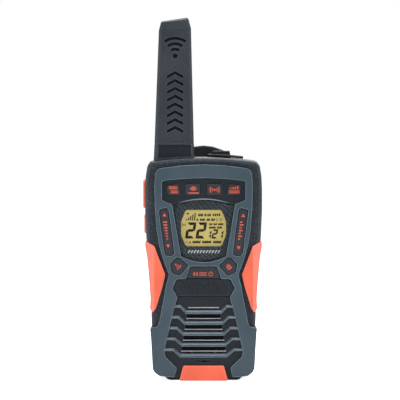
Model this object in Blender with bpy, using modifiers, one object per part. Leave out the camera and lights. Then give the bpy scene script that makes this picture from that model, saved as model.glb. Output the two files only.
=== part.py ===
"""A handheld two-way radio: casing, keys, display, loudspeaker, battery bay, blade antenna and belt clip.

It stands on its base with its face toward -Y, +X on the viewer's right and +Z up. The origin is the
middle of the base. Sizes are in millimetres and MM turns them into metres. An outline is the half at
+X of a symmetric shape, or a whole shape, and each of its corners is (x, z, rounding radius).
"""

import math

import bmesh
import bpy
from mathutils import Matrix, Vector

MM = 0.001

# Depths of the layers, front to back.
BEZEL_FRONT, BEZEL_BACK = -16.5, -13.6
SHELL_FRONT, SHELL_FRONT_INSIDE = -13.3, -11.3
SPLIT_FRONT, SPLIT_REAR = 2.5, 2.8
SHELL_REAR_INSIDE, SHELL_REAR = 14.0, 17.2
GRIP_REAR = 1.0
GAP = 0.3

# The casing, seen from the front.
BODY_TOP, BODY_TOP_FALL, BODY_TOP_REACH = 118.0, 1.8, 26.0
REAR_ROUND, FRONT_ROUND = 3.5, 1.6

# Keys and buttons.
KEY_FRONT, KEY_BACK, STEM_END = -16.2, -14.4, -11.9
PANEL_FRONT, PANEL_BACK = -15.4, -13.6
LENS_FRONT, LENS_BACK = -15.3, -14.1
GRILLE_FRONT = -14.9

# Battery bay: inside size, and the three cells.
BAY_HALF, BAY_BOTTOM, BAY_TOP = 22.1, 10.0, 65.0
BAY_FLOOR, BAY_WALL = 1.0, 1.0
CELL_RADIUS, CELL_PITCH, CELL_Y = 7.0, 14.4, 8.3
CELL_BOTTOM, CELL_TOP, NUB_HEIGHT = 13.7, 62.7, 1.2
DOOR_HINGE_Y, DOOR_HINGE_Z = 16.2, 68.2
DOOR_SEAT, DOOR_BACK, DOOR_FRONT = 14.8, 15.9, 17.4
DOOR_HALF, DOOR_BOTTOM = 23.1, 9.2
LOCK_Z = 15.0

# Belt clip.
CLIP_PIN_Y, CLIP_PIN_Z, CLIP_PIN_RADIUS, LUG_RADIUS = 20.9, 108.0, 1.0, 2.0
CLIP_FRONT, CLIP_REAR = 23.2, 25.2
CLIP_TOP, CLIP_END = 123.7, 71.0

# Antenna.
ANTENNA_X, ANTENNA_Y = -15.6, 1.0
COLLAR_TOP, ANTENNA_TOP = 125.2, 192.4

# Jack cover hinge.
COVER_HINGE_X, COVER_HINGE_Z = 20.2, 118.4

SPEAKER_Z = 29.0
SCREW_PLACES = [(-24.0, 109.5), (24.0, 109.5), (-12.0, 5.9), (12.0, 5.9)]

# ---------------------------------------------------------------------------------------------- scene

for leftover in list(bpy.data.objects):
    bpy.data.objects.remove(leftover, do_unlink=True)

parts = bpy.data.collections.new("walkie_talkie")
cutters = bpy.data.collections.new("cutters")
bpy.context.scene.collection.children.link(parts)
bpy.context.scene.collection.children.link(cutters)
cutters.hide_render = True


def material(name, colour, roughness, metallic=0.0, alpha=1.0):
    made = bpy.data.materials.new(name)
    made.use_nodes = True
    shader = made.node_tree.nodes["Principled BSDF"]
    shader.inputs["Base Color"].default_value = (*colour, 1.0)
    shader.inputs["Roughness"].default_value = roughness
    shader.inputs["Metallic"].default_value = metallic
    shader.inputs["Alpha"].default_value = alpha
    made.diffuse_color = (*colour, alpha)
    return made


CHARCOAL = material("charcoal_plastic", (0.045, 0.052, 0.064), 0.55)
SLATE = material("slate_plastic", (0.09, 0.12, 0.145), 0.42)
BLACK = material("black_plastic", (0.018, 0.02, 0.024), 0.5)
ORANGE = material("orange_rubber", (0.85, 0.16, 0.09), 0.5)
KEY_RUBBER = material("key_rubber", (0.03, 0.036, 0.045), 0.6)
SEAL_RUBBER = material("seal_rubber", (0.02, 0.02, 0.02), 0.8)
CLEAR = material("clear_window", (0.02, 0.02, 0.022), 0.08, alpha=0.35)
LCD_GLASS = material("lcd_glass", (0.5, 0.4, 0.13), 0.3)
DIFFUSER = material("white_diffuser", (0.8, 0.8, 0.76), 0.5)
STEEL = material("steel", (0.55, 0.56, 0.58), 0.3, metallic=1.0)
BRASS = material("brass", (0.65, 0.45, 0.18), 0.35, metallic=1.0)
BOARD = material("green_board", (0.02, 0.12, 0.05), 0.5)
PAPER = material("speaker_paper", (0.05, 0.05, 0.05), 0.9)
CELL_LABEL = material("cell_label", (0.1, 0.22, 0.4), 0.4)
FABRIC = material("membrane", (0.01, 0.01, 0.01), 0.9)


# --------------------------------------------------------------------------------------------- shapes


def rounded(corners):
    """The closed outline through the corners, each (x, z, radius), with an arc at each rounded one."""
    outline = []
    for index, (x, z, radius) in enumerate(corners):
        corner = Vector((x, z))
        if radius == 0:
            outline.append(corner)
            continue
        before = (Vector(corners[index - 1][:2]) - corner).normalized()
        after = (Vector(corners[(index + 1) % len(corners)][:2]) - corner).normalized()
        half_angle = before.angle(after) / 2
        centre = corner + (before + after).normalized() * radius / math.sin(half_angle)
        start = corner + before * radius / math.tan(half_angle) - centre
        turn = start.angle_signed(corner + after * radius / math.tan(half_angle) - centre)
        facet = math.radians(9 if radius > 3 else 16)
        steps = max(1, round(abs(turn) / facet))
        for step in range(steps + 1):
            outline.append(centre + Matrix.Rotation(-turn * step / steps, 2) @ start)
    return outline


def mirrored(half):
    """The whole outline of a shape whose half at +X runs from its upper end to its lower end."""
    return rounded(half + [(-x, z, radius) for x, z, radius in reversed(half) if x > 0])


def grown(outline, distance):
    """The outline moved outward by a distance, or inward by a negative one."""
    area = sum(a.cross(b) for a, b in zip(outline, outline[1:] + outline[:1]))
    side = distance if area > 0 else -distance
    moved = []
    for index, point in enumerate(outline):
        into = (point - outline[index - 1]).normalized()
        out_of = (outline[(index + 1) % len(outline)] - point).normalized()
        normals = [Vector((edge.y, -edge.x)) for edge in (into, out_of)]
        middle = (normals[0] + normals[1]).normalized()
        moved.append(point + middle * side / max(middle.dot(normals[0]), 0.35))
    return moved


def add(name, mesh, look, collection=None):
    made = bpy.data.objects.new(name, mesh)
    (collection or parts).objects.link(made)
    if look:
        mesh.materials.append(look)
    else:
        made.display_type = "WIRE"
        made.hide_render = True
    return made


def cleaned(curve_object, matrix):
    """The curve as a closed mesh in world space, with its caps welded, each flat cap being one face."""
    bpy.context.view_layer.update()
    evaluated = curve_object.evaluated_get(bpy.context.evaluated_depsgraph_get())
    mesh = bpy.data.meshes.new_from_object(evaluated)
    bpy.data.objects.remove(curve_object, do_unlink=True)
    mesh.transform(matrix)
    work = bmesh.new()
    work.from_mesh(mesh)
    bmesh.ops.remove_doubles(work, verts=work.verts, dist=0.00002)
    bmesh.ops.dissolve_limit(work, angle_limit=0.002, verts=work.verts, edges=work.edges)
    bmesh.ops.recalc_face_normals(work, faces=work.faces)
    work.to_mesh(mesh)
    work.free()
    mesh.materials.clear()
    return mesh


FROM_FRONT = Matrix.Rotation(math.pi / 2, 4, "X")
FROM_SIDE = Matrix(((0, 0, 1, 0), (1, 0, 0, 0), (0, 1, 0, 0), (0, 0, 0, 1)))
FROM_ABOVE = Matrix.Identity(4)


def plate(name, outline, start, end, look=None, view=FROM_FRONT, holes=()):
    """A flat piece between two depths: along Y seen from the front, X from the side, Z from above."""
    curve = bpy.data.curves.new(name, "CURVE")
    curve.dimensions = "2D"
    curve.fill_mode = "BOTH"
    curve.extrude = abs(end - start) / 2 * MM
    for loop in [outline, *holes]:
        spline = curve.splines.new("POLY")
        spline.points.add(len(loop) - 1)
        for point, place in zip(spline.points, loop):
            point.co = (place[0] * MM, place[1] * MM, 0, 1)
        spline.use_cyclic_u = True
    guide = bpy.data.objects.new(name + "_curve", curve)
    cutters.objects.link(guide)
    shift = Vector((0, 0, (start + end) / 2 * MM))
    if view is FROM_FRONT:
        shift.z = -shift.z
    mesh = cleaned(guide, view @ Matrix.Translation(shift))
    return add(name, mesh, look, None if look else cutters)


def box(name, low, high, look=None):
    mesh = bpy.data.meshes.new(name)
    work = bmesh.new()
    size = [(b - a) * MM for a, b in zip(low, high)]
    middle = [(a + b) / 2 * MM for a, b in zip(low, high)]
    bmesh.ops.create_cube(work, size=1, matrix=Matrix.Translation(middle) @ Matrix.Diagonal((*size, 1)))
    work.to_mesh(mesh)
    work.free()
    return add(name, mesh, look, None if look else cutters)


AXES = {"X": Matrix.Rotation(math.pi / 2, 4, "Y"), "Y": Matrix.Rotation(-math.pi / 2, 4, "X")}


def cylinder(name, axis, radius, start, end, across, look=None, sides=16):
    """A cylinder along an axis, between two places on it. across is where the other two axes cut it."""
    mesh = bpy.data.meshes.new(name)
    work = bmesh.new()
    bmesh.ops.create_cone(
        work,
        cap_ends=True,
        segments=sides,
        radius1=radius * MM,
        radius2=radius * MM,
        depth=(end - start) * MM,
    )
    centre = list(across)
    centre.insert("XYZ".index(axis), (start + end) / 2)
    turn = AXES.get(axis, Matrix.Identity(4))
    mesh_place = Matrix.Translation([value * MM for value in centre]) @ turn
    bmesh.ops.transform(work, matrix=mesh_place, verts=work.verts)
    work.to_mesh(mesh)
    work.free()
    return add(name, mesh, look, None if look else cutters)


def turned(name, profile, middle, look, steps=24):
    """A profile of (radius, depth) pairs turned about the line along Y through middle, an (x, z) place."""
    mesh = bpy.data.meshes.new(name)
    work = bmesh.new()
    rim = [work.verts.new((radius * MM, 0, -depth * MM)) for radius, depth in profile]
    closed_loop = profile[0][0] > 0
    for a, b in zip(rim, rim[1:] + (rim[:1] if closed_loop else [])):
        work.edges.new((a, b))
    work.to_mesh(mesh)
    work.free()
    made = add(name, mesh, look)
    spin = made.modifiers.new("spin", "SCREW")
    spin.steps = spin.render_steps = steps
    spin.use_merge_vertices = True
    spin.merge_threshold = 0.00001
    spin.use_normal_calculate = True
    made.matrix_world = Matrix.Translation((middle[0] * MM, 0, middle[1] * MM)) @ FROM_FRONT
    return made


def wire(name, route, radius, look):
    """A round wire along a list of places."""
    curve = bpy.data.curves.new(name, "CURVE")
    curve.dimensions = "3D"
    curve.bevel_depth = radius * MM
    curve.bevel_resolution = 2
    curve.use_fill_caps = True
    spline = curve.splines.new("POLY")
    spline.points.add(len(route) - 1)
    for point, place in zip(spline.points, route):
        point.co = (*(value * MM for value in place), 1)
    made = bpy.data.objects.new(name, curve)
    parts.objects.link(made)
    curve.materials.append(look)
    return made


def boolean(target, kind, *others):
    for other in others:
        step = target.modifiers.new(f"{kind.lower()}_{other.name}", "BOOLEAN")
        step.operation = kind
        step.object = other
        step.solver = "EXACT"
    return target


def cut(target, *others):
    return boolean(target, "DIFFERENCE", *others)


def join(target, *others):
    return boolean(target, "UNION", *others)


def bevel(target, width, segments, chosen=None):
    """Rounds the sharp edges, or only those whose two ends both pass a test on their place in millimetres."""
    step = target.modifiers.new("bevel", "BEVEL")
    step.width = width * MM
    step.segments = segments
    step.limit_method = "ANGLE"
    step.angle_limit = math.radians(40)
    step.use_clamp_overlap = True
    if chosen:
        work = bmesh.new()
        work.from_mesh(target.data)
        weight = work.edges.layers.float.new("bevel_weight_edge")
        for edge in work.edges:
            sharp = edge.calc_face_angle(0) > step.angle_limit
            edge[weight] = float(sharp and all(chosen(end.co / MM) for end in edge.verts))
        work.to_mesh(target.data)
        work.free()
        step.limit_method = "WEIGHT"
    return target


def at(axis, value):
    """A test for bevel: the place lies on the plane where an axis has a value."""
    index = "XYZ".index(axis)
    return lambda place: abs(place[index] - value) < 0.01


def smooth(target, angle=35):
    for face in target.data.polygons:
        face.use_smooth = True
    target.data.set_sharp_from_angle(angle=math.radians(angle))
    return target


def hang(pivot_name, place, *pieces):
    """Puts pieces under an empty that stands on their joint's axis."""
    pivot = bpy.data.objects.new(pivot_name, None)
    pivot.empty_display_size = 0.004
    pivot.location = [value * MM for value in place]
    parts.objects.link(pivot)
    bpy.context.view_layer.update()
    for piece in pieces:
        piece.parent = pivot
        piece.matrix_parent_inverse = pivot.matrix_world.inverted()
    return pivot


# ------------------------------------------------------------------------------------------- outlines


def crown(x):
    """Height of the casing's slightly arched top."""
    return BODY_TOP - BODY_TOP_FALL * (x / BODY_TOP_REACH) ** 2


BODY_HALF = [(x, crown(x), 0) for x in (0, 9, 18, 26)] + [
    (29.5, 115.5, 3.8),
    (30.7, 108, 14),
    (31, 101, 0),
    (31, 90, 0),
    (30.4, 76, 0),
    (29.3, 61, 0),
    (28.4, 49, 0),
    (27.9, 39, 0),
    (27.5, 24, 0),
    (27.1, 11, 8),
    (26, 6.2, 4.2),
    (18.6, 0, 3.8),
    (0, 0, 0),
]
CAVITY_HALF = [
    (0, 115.8, 0),
    (24, 114.2, 0),
    (27.4, 112.6, 2),
    (28.8, 101, 0),
    (28.8, 90, 0),
    (28.2, 77, 2),
    (25.4, 72, 2),
    (25.4, 33, 2),
    (23.7, 29, 2),
    (23.6, 8.2, 1),
    (18.6, 2.2, 2),
    (0, 2.2, 0),
]
WAIST = [(24.8, 80, 0), (23.5, 72, 6), (21.5, 65, 0), (18.3, 56.3, 2.5), (20, 50, 0), (21, 44, 0), (22.2, 38, 0)]
FOOT = [(28.4, 28, 0.7), (27.9, 22, 0), (27.4, 13, 0), (27, 5.2, 4.6), (23.5, 2.5, 3.2), (19.6, 2.1, 0)]
INNER_EDGE = [
    (15.5, 2, 0),
    (14.2, 6.8, 0.8),
    (20.1, 12.6, 1),
    (20.9, 15.5, 1),
    (16.7, 34.5, 0),
    (13.9, 44.4, 0.6),
    (16.5, 49, 1.4),
    (14.3, 54, 1.6),
    (9.3, 54.1, 0.4),
    (7.1, 60.8, 1.6),
    (0, 60.8, 0),
]
BEZEL_HALF = (
    [(x, 114.6 - 1.7 * (x / 21) ** 2, 0) for x in (0, 10.5, 21)]
    + [(25.2, 112.1, 3.6), (26, 104, 0), (25.7, 92, 0)]
    + WAIST
    + [(23.4, 31.2, 2), (24.6, 28.6, 1.2)]
    + FOOT
    + INNER_EDGE
)
WINDOW_HALF = (
    [(x, 107.6 - 1.5 * (x / 21) ** 2, 0) for x in (0, 10.5, 20)]
    + [(22.2, 105.9, 1.2), (22.2, 95.6, 1.8), (16.7, 93.6, 0.9), (13, 72, 0), (12, 66, 1.6)]
    + [(x, 62.8 + 2.6 * (x / 10.5) ** 2, 0) for x in (8, 4, 0)]
)
ARCH = [(0, 95.9, 0), (6, 95.5, 0), (11, 94.6, 0), (14.5, 93.8, 0)]
LENS_HALF = (
    [(x, z - GAP, radius) for x, z, radius in ARCH]
    + [(16, 92.8, 1), (12.7, 72, 0), (11.7, 66.2, 1.4)]
    + [(x, 63.1 + 2.6 * (x / 10.3) ** 2, 0) for x in (8, 4, 0)]
)
PANEL_HALF = (
    [(x, 107.3 - 1.5 * (x / 21) ** 2, 0) for x in (0, 10.5, 20)]
    + [(21.9, 105.6, 1), (21.9, 95.8, 1.5), (16.6, 94, 0.5)]
    + ARCH[::-1]
)
LCD_HALF = [(0, 90.5, 0), (9.4, 90.5, 1.6), (11.9, 84.6, 6), (11.9, 77.2, 6), (9.4, 71.2, 1.6), (0, 71.2, 0)]
ROCKER = [(23.5, 90.5, 1.3), (20.3, 66.5, 1.8), (15.6, 66.6, 1.5), (18.9, 91.7, 1.3)]
CALL_KEY = [(13.7, 66, 1.8), (17.6, 61.8, 1.5), (16.7, 57.4, 1.8), (12.7, 55.8, 1.6), (8.1, 61.2, 1.2)]
MODE_KEY_HALF = [(0, 60.5, 0), (6.9, 60.5, 1.4), (8.9, 54.4, 0.5), (0, 54.4, 0)]
BADGE_HALF = [(0, 54.1, 0), (9, 54.1, 0), (14, 53.7, 1.6), (16.2, 49, 1.4), (13.7, 44.8, 0.6), (0, 44.8, 0)]
BUMPER_HALF = [(0, 8, 0), (10.8, 8, 1), (12.9, 0, 0.6), (0, 0, 0)]
INNER_KEY = [(1.9, 104.5, 0.9), (9.6, 104.3, 0.9), (9.6, 98.4, 0.9), (1.9, 98.4, 0.9)]
OUTER_KEY = [(13.4, 104.2, 0.9), (20.0, 103.8, 1.4), (18.8, 98.4, 1.2), (12.2, 98.4, 0.9)]
GRIP = [
    (26, 71.3, 0.8),
    (31, 74.2, 0.8),
    (30.9, 71, 0),
    (29.9, 65, 0),
    (28.9, 54, 0),
    (28.2, 43.5, 0),
    (28.5, 38.5, 1),
    (27.2, 35.9, 0.5),
    (25.3, 38.4, 0.5),
    (21.9, 49.5, 0),
    (20.3, 56.3, 1.2),
    (24.3, 66.5, 0),
]


def flipped(corners):
    """The same outline on the other side, at -X."""
    return [(-x, z, radius) for x, z, radius in reversed(corners)]


def rectangle(low, high, radius=0):
    places = [low, (low[0], high[1]), high, (high[0], low[1])]
    return rounded([(*place, radius) for place in places])


BODY = mirrored(BODY_HALF)
CAVITY = mirrored(CAVITY_HALF)


# --------------------------------------------------------------------------------- keys and their caps


def key(name, outline, pivot_place, look=KEY_RUBBER):
    """A key cap with a square stem that goes through the casing toward the switch behind it."""
    cap = plate(name, outline, KEY_FRONT, KEY_BACK, look)
    bevel(cap, 0.35, 2, at("Y", KEY_FRONT))
    x, z = pivot_place
    stem = box(name + "_stem", (x - 1.6, KEY_BACK - 0.3, z - 1.6), (x + 1.6, STEM_END, z + 1.6))
    join(cap, stem)
    hang(name + "_pivot", (x, KEY_BACK, z), smooth(cap))
    return box(name + "_passage", (x - 2, SHELL_FRONT - 1, z - 2), (x + 2, SHELL_FRONT_INSIDE + 1, z + 2))


passages = []
panel_holes = []
for number, corners in enumerate([flipped(OUTER_KEY), flipped(INNER_KEY), INNER_KEY, OUTER_KEY], 1):
    shape = rounded(corners)
    centre = (sum(x for x, z, r in corners) / 4, 101.4)
    passages.append(key(f"top_key_{number}", shape, centre))
    panel_holes.append(grown(shape, GAP))

passages.append(key("call_key", rounded(flipped(CALL_KEY)), (-12.7, 60.7)))
passages.append(key("lock_key", rounded(CALL_KEY), (12.7, 60.7)))
passages.append(key("mode_key", mirrored(MODE_KEY_HALF), (0, 57.3)))


def rocker(name, outline, side):
    """A long key that tips about its middle, with a leg at each end above its switch."""
    cap = plate(name, outline, KEY_FRONT, KEY_BACK, KEY_RUBBER)
    bevel(cap, 0.35, 2, at("Y", KEY_FRONT))
    found = []
    for end, x, z in (("upper", 20.5, 86), ("lower", 18.7, 72)):
        low, high = (side * x - 1.3, KEY_BACK - 0.3, z - 1.3), (side * x + 1.3, STEM_END, z + 1.3)
        join(cap, box(f"{name}_{end}_leg", low, high))
        low, high = (side * x - 1.9, SHELL_FRONT - 1, z - 1.9), (side * x + 1.9, SHELL_FRONT_INSIDE + 1, z + 1.9)
        found.append(box(f"{name}_{end}_passage", low, high))
    hang(name + "_pivot", (side * 19.6, SHELL_FRONT, 79), smooth(cap))
    return found


passages += rocker("volume_rocker", rounded(flipped(ROCKER)), -1)
passages += rocker("channel_rocker", rounded(ROCKER), 1)


# ------------------------------------------------------------------------------------- side buttons


def side_button(name, low, high, outside, pivot_z):
    """An orange button in the left wall, kept in by a flange. low and high are its (y, z) corners."""
    shape = rectangle(low, high, 1.8)
    cap = plate(name, shape, -outside, -27.5, ORANGE, FROM_SIDE)
    bevel(cap, 0.7, 2, at("X", -outside))
    join(cap, plate(name + "_flange", grown(shape, 0.8), -27.9, -27.1, view=FROM_SIDE))
    hang(name + "_pivot", (-31, (low[0] + high[0]) / 2, pivot_z), smooth(cap))
    return plate(name + "_passage", grown(shape, GAP), -33, -26, view=FROM_SIDE)


side_passages = [
    side_button("ptt_button", (-9.5, 91.3), (0.5, 106.3), 32.1, 98.8),
    side_button("boost_button", (-9.5, 77.8), (0.5, 88), 31.5, 82.9),
]


# ------------------------------------------------------------------------------------- side grips


def grip(name, side):
    """An L-shaped rubber pad: a flange on the face and a wall on the side, with a crest between them."""
    corners = GRIP if side > 0 else flipped(GRIP)
    pad = plate(name, rounded(corners), -16.5, GRIP_REAR, ORANGE)
    section = [(17, -15), (26.2, -16), (32, -12), (32, 3), (28.1, 3), (28.1, BEZEL_BACK), (17, BEZEL_BACK)]
    shape = [(side * x, y) for x, y in section]
    form = plate(name + "_section", shape, 30, 80, view=FROM_ABOVE)
    boolean(pad, "INTERSECT", form)
    bevel(pad, 0.5, 2)
    pocket = [(27.8, 72.8), (34, 76.5), (34, 35.2), (27.8, 35.2)]
    return smooth(pad, 30), plate(name + "_pocket", [(side * x, z) for x, z in pocket], -20, GRIP_REAR + GAP)


grip_left, pocket_left = grip("grip_left", -1)
grip_right, pocket_right = grip("grip_right", 1)


# ------------------------------------------------------------------------------------- face bezel

SKIRT = [(28.4, 28, 0.7), *FOOT[1:5], (20.5, 2.2, 0), (21.6, 4.3, 2), (25.2, 8.2, 3), (25.9, 14, 0), (26.2, 28, 0)]
SKIRT_REAR = -4.0

bezel_holes = [mirrored(WINDOW_HALF)]
for corners in (ROCKER, CALL_KEY):
    bezel_holes += [grown(rounded(flipped(corners)), GAP), grown(rounded(corners), GAP)]
face_bezel = plate("face_bezel", mirrored(BEZEL_HALF), BEZEL_FRONT, BEZEL_BACK, SLATE, holes=bezel_holes)
bevel(face_bezel, 0.5, 1, at("Y", BEZEL_FRONT))
skirt_cuts = []
for side_name, corners in (("left", flipped(SKIRT)), ("right", SKIRT)):
    shape = rounded(corners)
    join(face_bezel, plate(f"skirt_{side_name}", shape, -14.6, SKIRT_REAR))
    skirt_cuts.append(plate(f"skirt_cut_{side_name}", grown(shape, GAP), -20, SKIRT_REAR + GAP))

LOUVRE_FRONT = BEZEL_FRONT + 0.1


def upper_edge(bar_top, wing_top):
    """A test for bevel: the place is on a louvre's upper front edge."""
    tops = (bar_top, wing_top)
    return lambda place: abs(place.y - LOUVRE_FRONT) < 0.01 and min(abs(place.z - top) for top in tops) < 0.01


# Five louvres. Each has a middle bar, with a step up on either side to a thinner wing in the bezel.
for row in range(5):
    wing_top, bar_top = 40.2 - 5.76 * row, 37.3 - 5.76 * row
    wing_end, wing_start, bar_half = 16.4 + 1.25 * row, 12 + 0.95 * row, 8.8 + 0.75 * row
    louvre_half = [
        (0, bar_top, 0),
        (bar_half, bar_top, 0),
        (wing_start, wing_top, 0),
        (wing_end, wing_top, 0),
        (wing_end, wing_top - 1.3, 0),
        (wing_start + 0.4, wing_top - 1.3, 0),
        (bar_half + 0.4, bar_top - 1.8, 0),
        (0, bar_top - 1.8, 0),
    ]
    bar = plate(f"louvre_{row + 1}", mirrored(louvre_half), LOUVRE_FRONT, GRILLE_FRONT - GAP)
    bevel(bar, 0.8, 1, upper_edge(bar_top, wing_top))
    join(face_bezel, bar)
smooth(face_bezel)

# ------------------------------------------------------------------------- panel, window and display

keypad_panel = plate("keypad_panel", mirrored(PANEL_HALF), PANEL_FRONT, PANEL_BACK, BLACK, holes=panel_holes)
display_lens = plate("display_lens", mirrored(LENS_HALF), LENS_FRONT, LENS_BACK, CLEAR)
display_surround = plate(
    "display_surround", grown(mirrored(LENS_HALF), -0.2), -13.9, -13.5, BLACK, holes=[mirrored(LCD_HALF)]
)
lcd_panel = box("lcd_panel", (-12.05, -13.2, 70.3), (12.05, -11.4, 91.5), LCD_GLASS)
lcd_backlight = box("lcd_backlight", (-12.05, -11.1, 70.3), (12.05, -8.8, 91.5), DIFFUSER)
badge_plate = bevel(plate("badge_plate", mirrored(BADGE_HALF), -16.1, BEZEL_BACK, BLACK), 0.5, 2, at("Y", -16.1))

# --------------------------------------------------------------- loudspeaker grille and bottom bumper

GRILLE_HALF = [
    (0, 44.4, 0),
    (13.4, 44.4, 0),
    (16.4, 34.5, 0),
    (20.55, 15.5, 1),
    (19.9, 12.9, 1),
    (13.8, 7, 0.8),
    (15, 1.8, 0),
    (13.1, 1.8, 0),
    (11.3, 8.3, 1),
    (0, 8.3, 0),
]
SLOTS = [(7.8 + 0.95 * row, 37.8 - 5.76 * row) for row in range(5)]
slot_loops = [rectangle((-half, z), (half, z + 0.9)) for half, z in SLOTS]
mic_slot = rounded([(-5, 10.7, 0), (5, 10.7, 0), (2.6, 9.8, 0), (-2.6, 9.8, 0)])
grille_panel = plate(
    "grille_panel", mirrored(GRILLE_HALF), GRILLE_FRONT, PANEL_BACK, BLACK, holes=[*slot_loops, mic_slot]
)

bottom_bumper = plate("bottom_bumper", mirrored(BUMPER_HALF), -16.8, BEZEL_BACK + 0.2, ORANGE)
bevel(bottom_bumper, 0.8, 2, at("Y", -16.8))
LIP_REAR, LIP_TOP = -7.0, 1.0
join(bottom_bumper, box("bumper_lip", (-12.5, -14, 0), (12.5, LIP_REAR, LIP_TOP)))
lip_cut = box("bumper_lip_cut", (-12.5 - GAP, -15, -1), (12.5 + GAP, LIP_REAR + GAP, LIP_TOP + GAP))
cut(bottom_bumper, box("bumper_back_cut", (-14, -13.6, LIP_TOP), (14, -12, 9)))
smooth(bottom_bumper)

# --------------------------------------------------------------------------------------- front shell

front_shell = plate("front_shell", BODY, SHELL_FRONT, SPLIT_FRONT, CHARCOAL)
bevel(front_shell, FRONT_ROUND, 2, at("Y", SHELL_FRONT))
cut(front_shell, plate("front_cavity", CAVITY, SHELL_FRONT_INSIDE, 10), pocket_left, pocket_right)
cut(front_shell, *skirt_cuts, lip_cut, *passages, *side_passages)
cut(front_shell, box("lcd_opening", (-12.4, -15, 69.9), (12.4, -9, 91.9)))
for half, z in SLOTS:
    slot = rectangle((-half + 0.5, z - 0.6), (half - 0.5, z + 1.5))
    cut(front_shell, plate(f"speaker_slot_{z:.0f}", slot, -15, -9))
cut(front_shell, cylinder("mic_opening", "Y", 1.4, -15, -9, (0, 9.4), sides=10))
for number, (x, z) in enumerate(SCREW_PLACES, 1):
    join(front_shell, cylinder(f"front_post_{number}", "Y", 2.5, SHELL_FRONT_INSIDE - 0.5, 1.6, (x, z), sides=12))
    cut(front_shell, cylinder(f"front_post_bore_{number}", "Y", 1.5, -6, 5, (x, z), sides=10))
cable_way = cylinder("antenna_way", "Z", 3.6, 108, 121, (ANTENNA_X, ANTENNA_Y), sides=16)
cut(front_shell, cable_way)
smooth(front_shell)

# ---------------------------------------------------------------------------------------- rear shell

rear_shell = plate("rear_shell", BODY, SPLIT_REAR, SHELL_REAR, CHARCOAL)
bevel(rear_shell, REAR_ROUND, 3, at("Y", SHELL_REAR))
cut(rear_shell, plate("rear_cavity", CAVITY, 0, SHELL_REAR_INSIDE))
bay_low = (-BAY_HALF - BAY_WALL, BAY_FLOOR - 0.8, BAY_BOTTOM - BAY_WALL)
bay_high = (BAY_HALF + BAY_WALL, DOOR_SEAT + 0.4, BAY_TOP + BAY_WALL)
join(rear_shell, box("bay_outside", bay_low, bay_high))
join(rear_shell, box("rail_boss", (-10, 12.6, 93), (10, 15.5, 115.4)))
for number, (x, z) in enumerate(SCREW_PLACES, 1):
    join(rear_shell, cylinder(f"rear_post_{number}", "Y", 2.7, 1.9, 15, (x, z), sides=12))
    cut(rear_shell, cylinder(f"rear_post_bore_{number}", "Y", 1.5, 0, 20, (x, z), sides=10))
    cut(rear_shell, cylinder(f"screw_seat_{number}", "Y", 2.4, 15.3, 20, (x, z), sides=16))
cut(rear_shell, box("bay_inside", (-BAY_HALF, BAY_FLOOR, BAY_BOTTOM), (BAY_HALF, 20, BAY_TOP)))
seat = rectangle((-DOOR_HALF - GAP, DOOR_BOTTOM - GAP), (DOOR_HALF + GAP, DOOR_HINGE_Z + 1.6), 0.9)
cut(rear_shell, plate("door_seat", seat, DOOR_SEAT, 20))
cut(rear_shell, box("rail_wide", (-8, 14.9, 95.7), (8, 16.1, 125)))
cut(rear_shell, box("rail_neck", (-5, 15.5, 95.7), (5, 20, 125)))
cut(rear_shell, box("jack_opening", (5, 5, 110), (16, 11.5, 125)))
cut(rear_shell, cable_way)
smooth(rear_shell)

SEAL_OUT, SEAL_IN = -0.75, -1.55
SEAL_FRONT, SEAL_REAR = 2.1, 3.2
shell_seal = plate(
    "shell_seal", grown(BODY, SEAL_OUT), SEAL_FRONT, SEAL_REAR, SEAL_RUBBER, holes=[grown(BODY, SEAL_IN)]
)
groove_holes = [grown(BODY, SEAL_IN - 0.25)]
seal_groove = plate(
    "seal_groove", grown(BODY, SEAL_OUT + 0.25), SEAL_FRONT - 0.25, SEAL_REAR + 0.25, holes=groove_holes
)
cut(shell_seal, cable_way)
cut(front_shell, seal_groove)
cut(rear_shell, seal_groove)

# --------------------------------------------------------------------------------- boards and speaker

main_board = plate("main_board", rectangle((-23, 47), (23, 112.5), 1.5), -8.4, -7.2, BOARD)
for number, (x, z) in enumerate(SCREW_PLACES[:2], 1):
    cut(main_board, cylinder(f"board_notch_{number}", "Y", 3, -9, -6, (x, z), sides=12))
rf_shield = box("rf_shield", (-19, -6.9, 74), (10, -3.4, 101), STEEL)
cut(rf_shield, box("rf_shield_inside", (-18.6, -8, 74.4), (9.6, -3.8, 100.6)))
keypad_mat = plate(
    "keypad_mat",
    rectangle((-22.5, 54), (22.5, 106.5), 2),
    -10.8,
    -8.7,
    SEAL_RUBBER,
    holes=[rectangle((-12.4, 69.9), (12.4, 91.9))],
)

speaker_place = (0, SPEAKER_Z)
speaker_membrane = cylinder("speaker_membrane", "Y", 15.4, -11, -10.8, speaker_place, FABRIC, 24)
basket_profile = [(16, -10.5), (14.4, -10.5), (14.4, -9.6), (8, -5), (5.6, -5), (5.6, -4.4), (8.6, -4.4), (16, -9.2)]
speaker_basket = turned("speaker_basket", basket_profile, speaker_place, STEEL)
cone_front = [(0, -9.4), (3.6, -8.7), (13.9, -10.4)]
cone_rear = [(13.9, -10.1), (4.2, -8), (4.2, -5.6), (3.8, -5.6), (3.8, -8.1), (0, -9)]
speaker_cone = turned("speaker_cone", cone_front + cone_rear, speaker_place, PAPER)
speaker_magnet = cylinder("speaker_magnet", "Y", 8.4, -4.1, -1, speaker_place, STEEL, 24)
join(speaker_magnet, cylinder("speaker_pole", "Y", 3.4, -7.6, -3.5, speaker_place, sides=16))
mic_capsule = cylinder("mic_capsule", "Y", 2.6, -11, -8.8, (0, 8.2), STEEL, 16)

# --------------------------------------------------------------------------------- battery and its door

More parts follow.
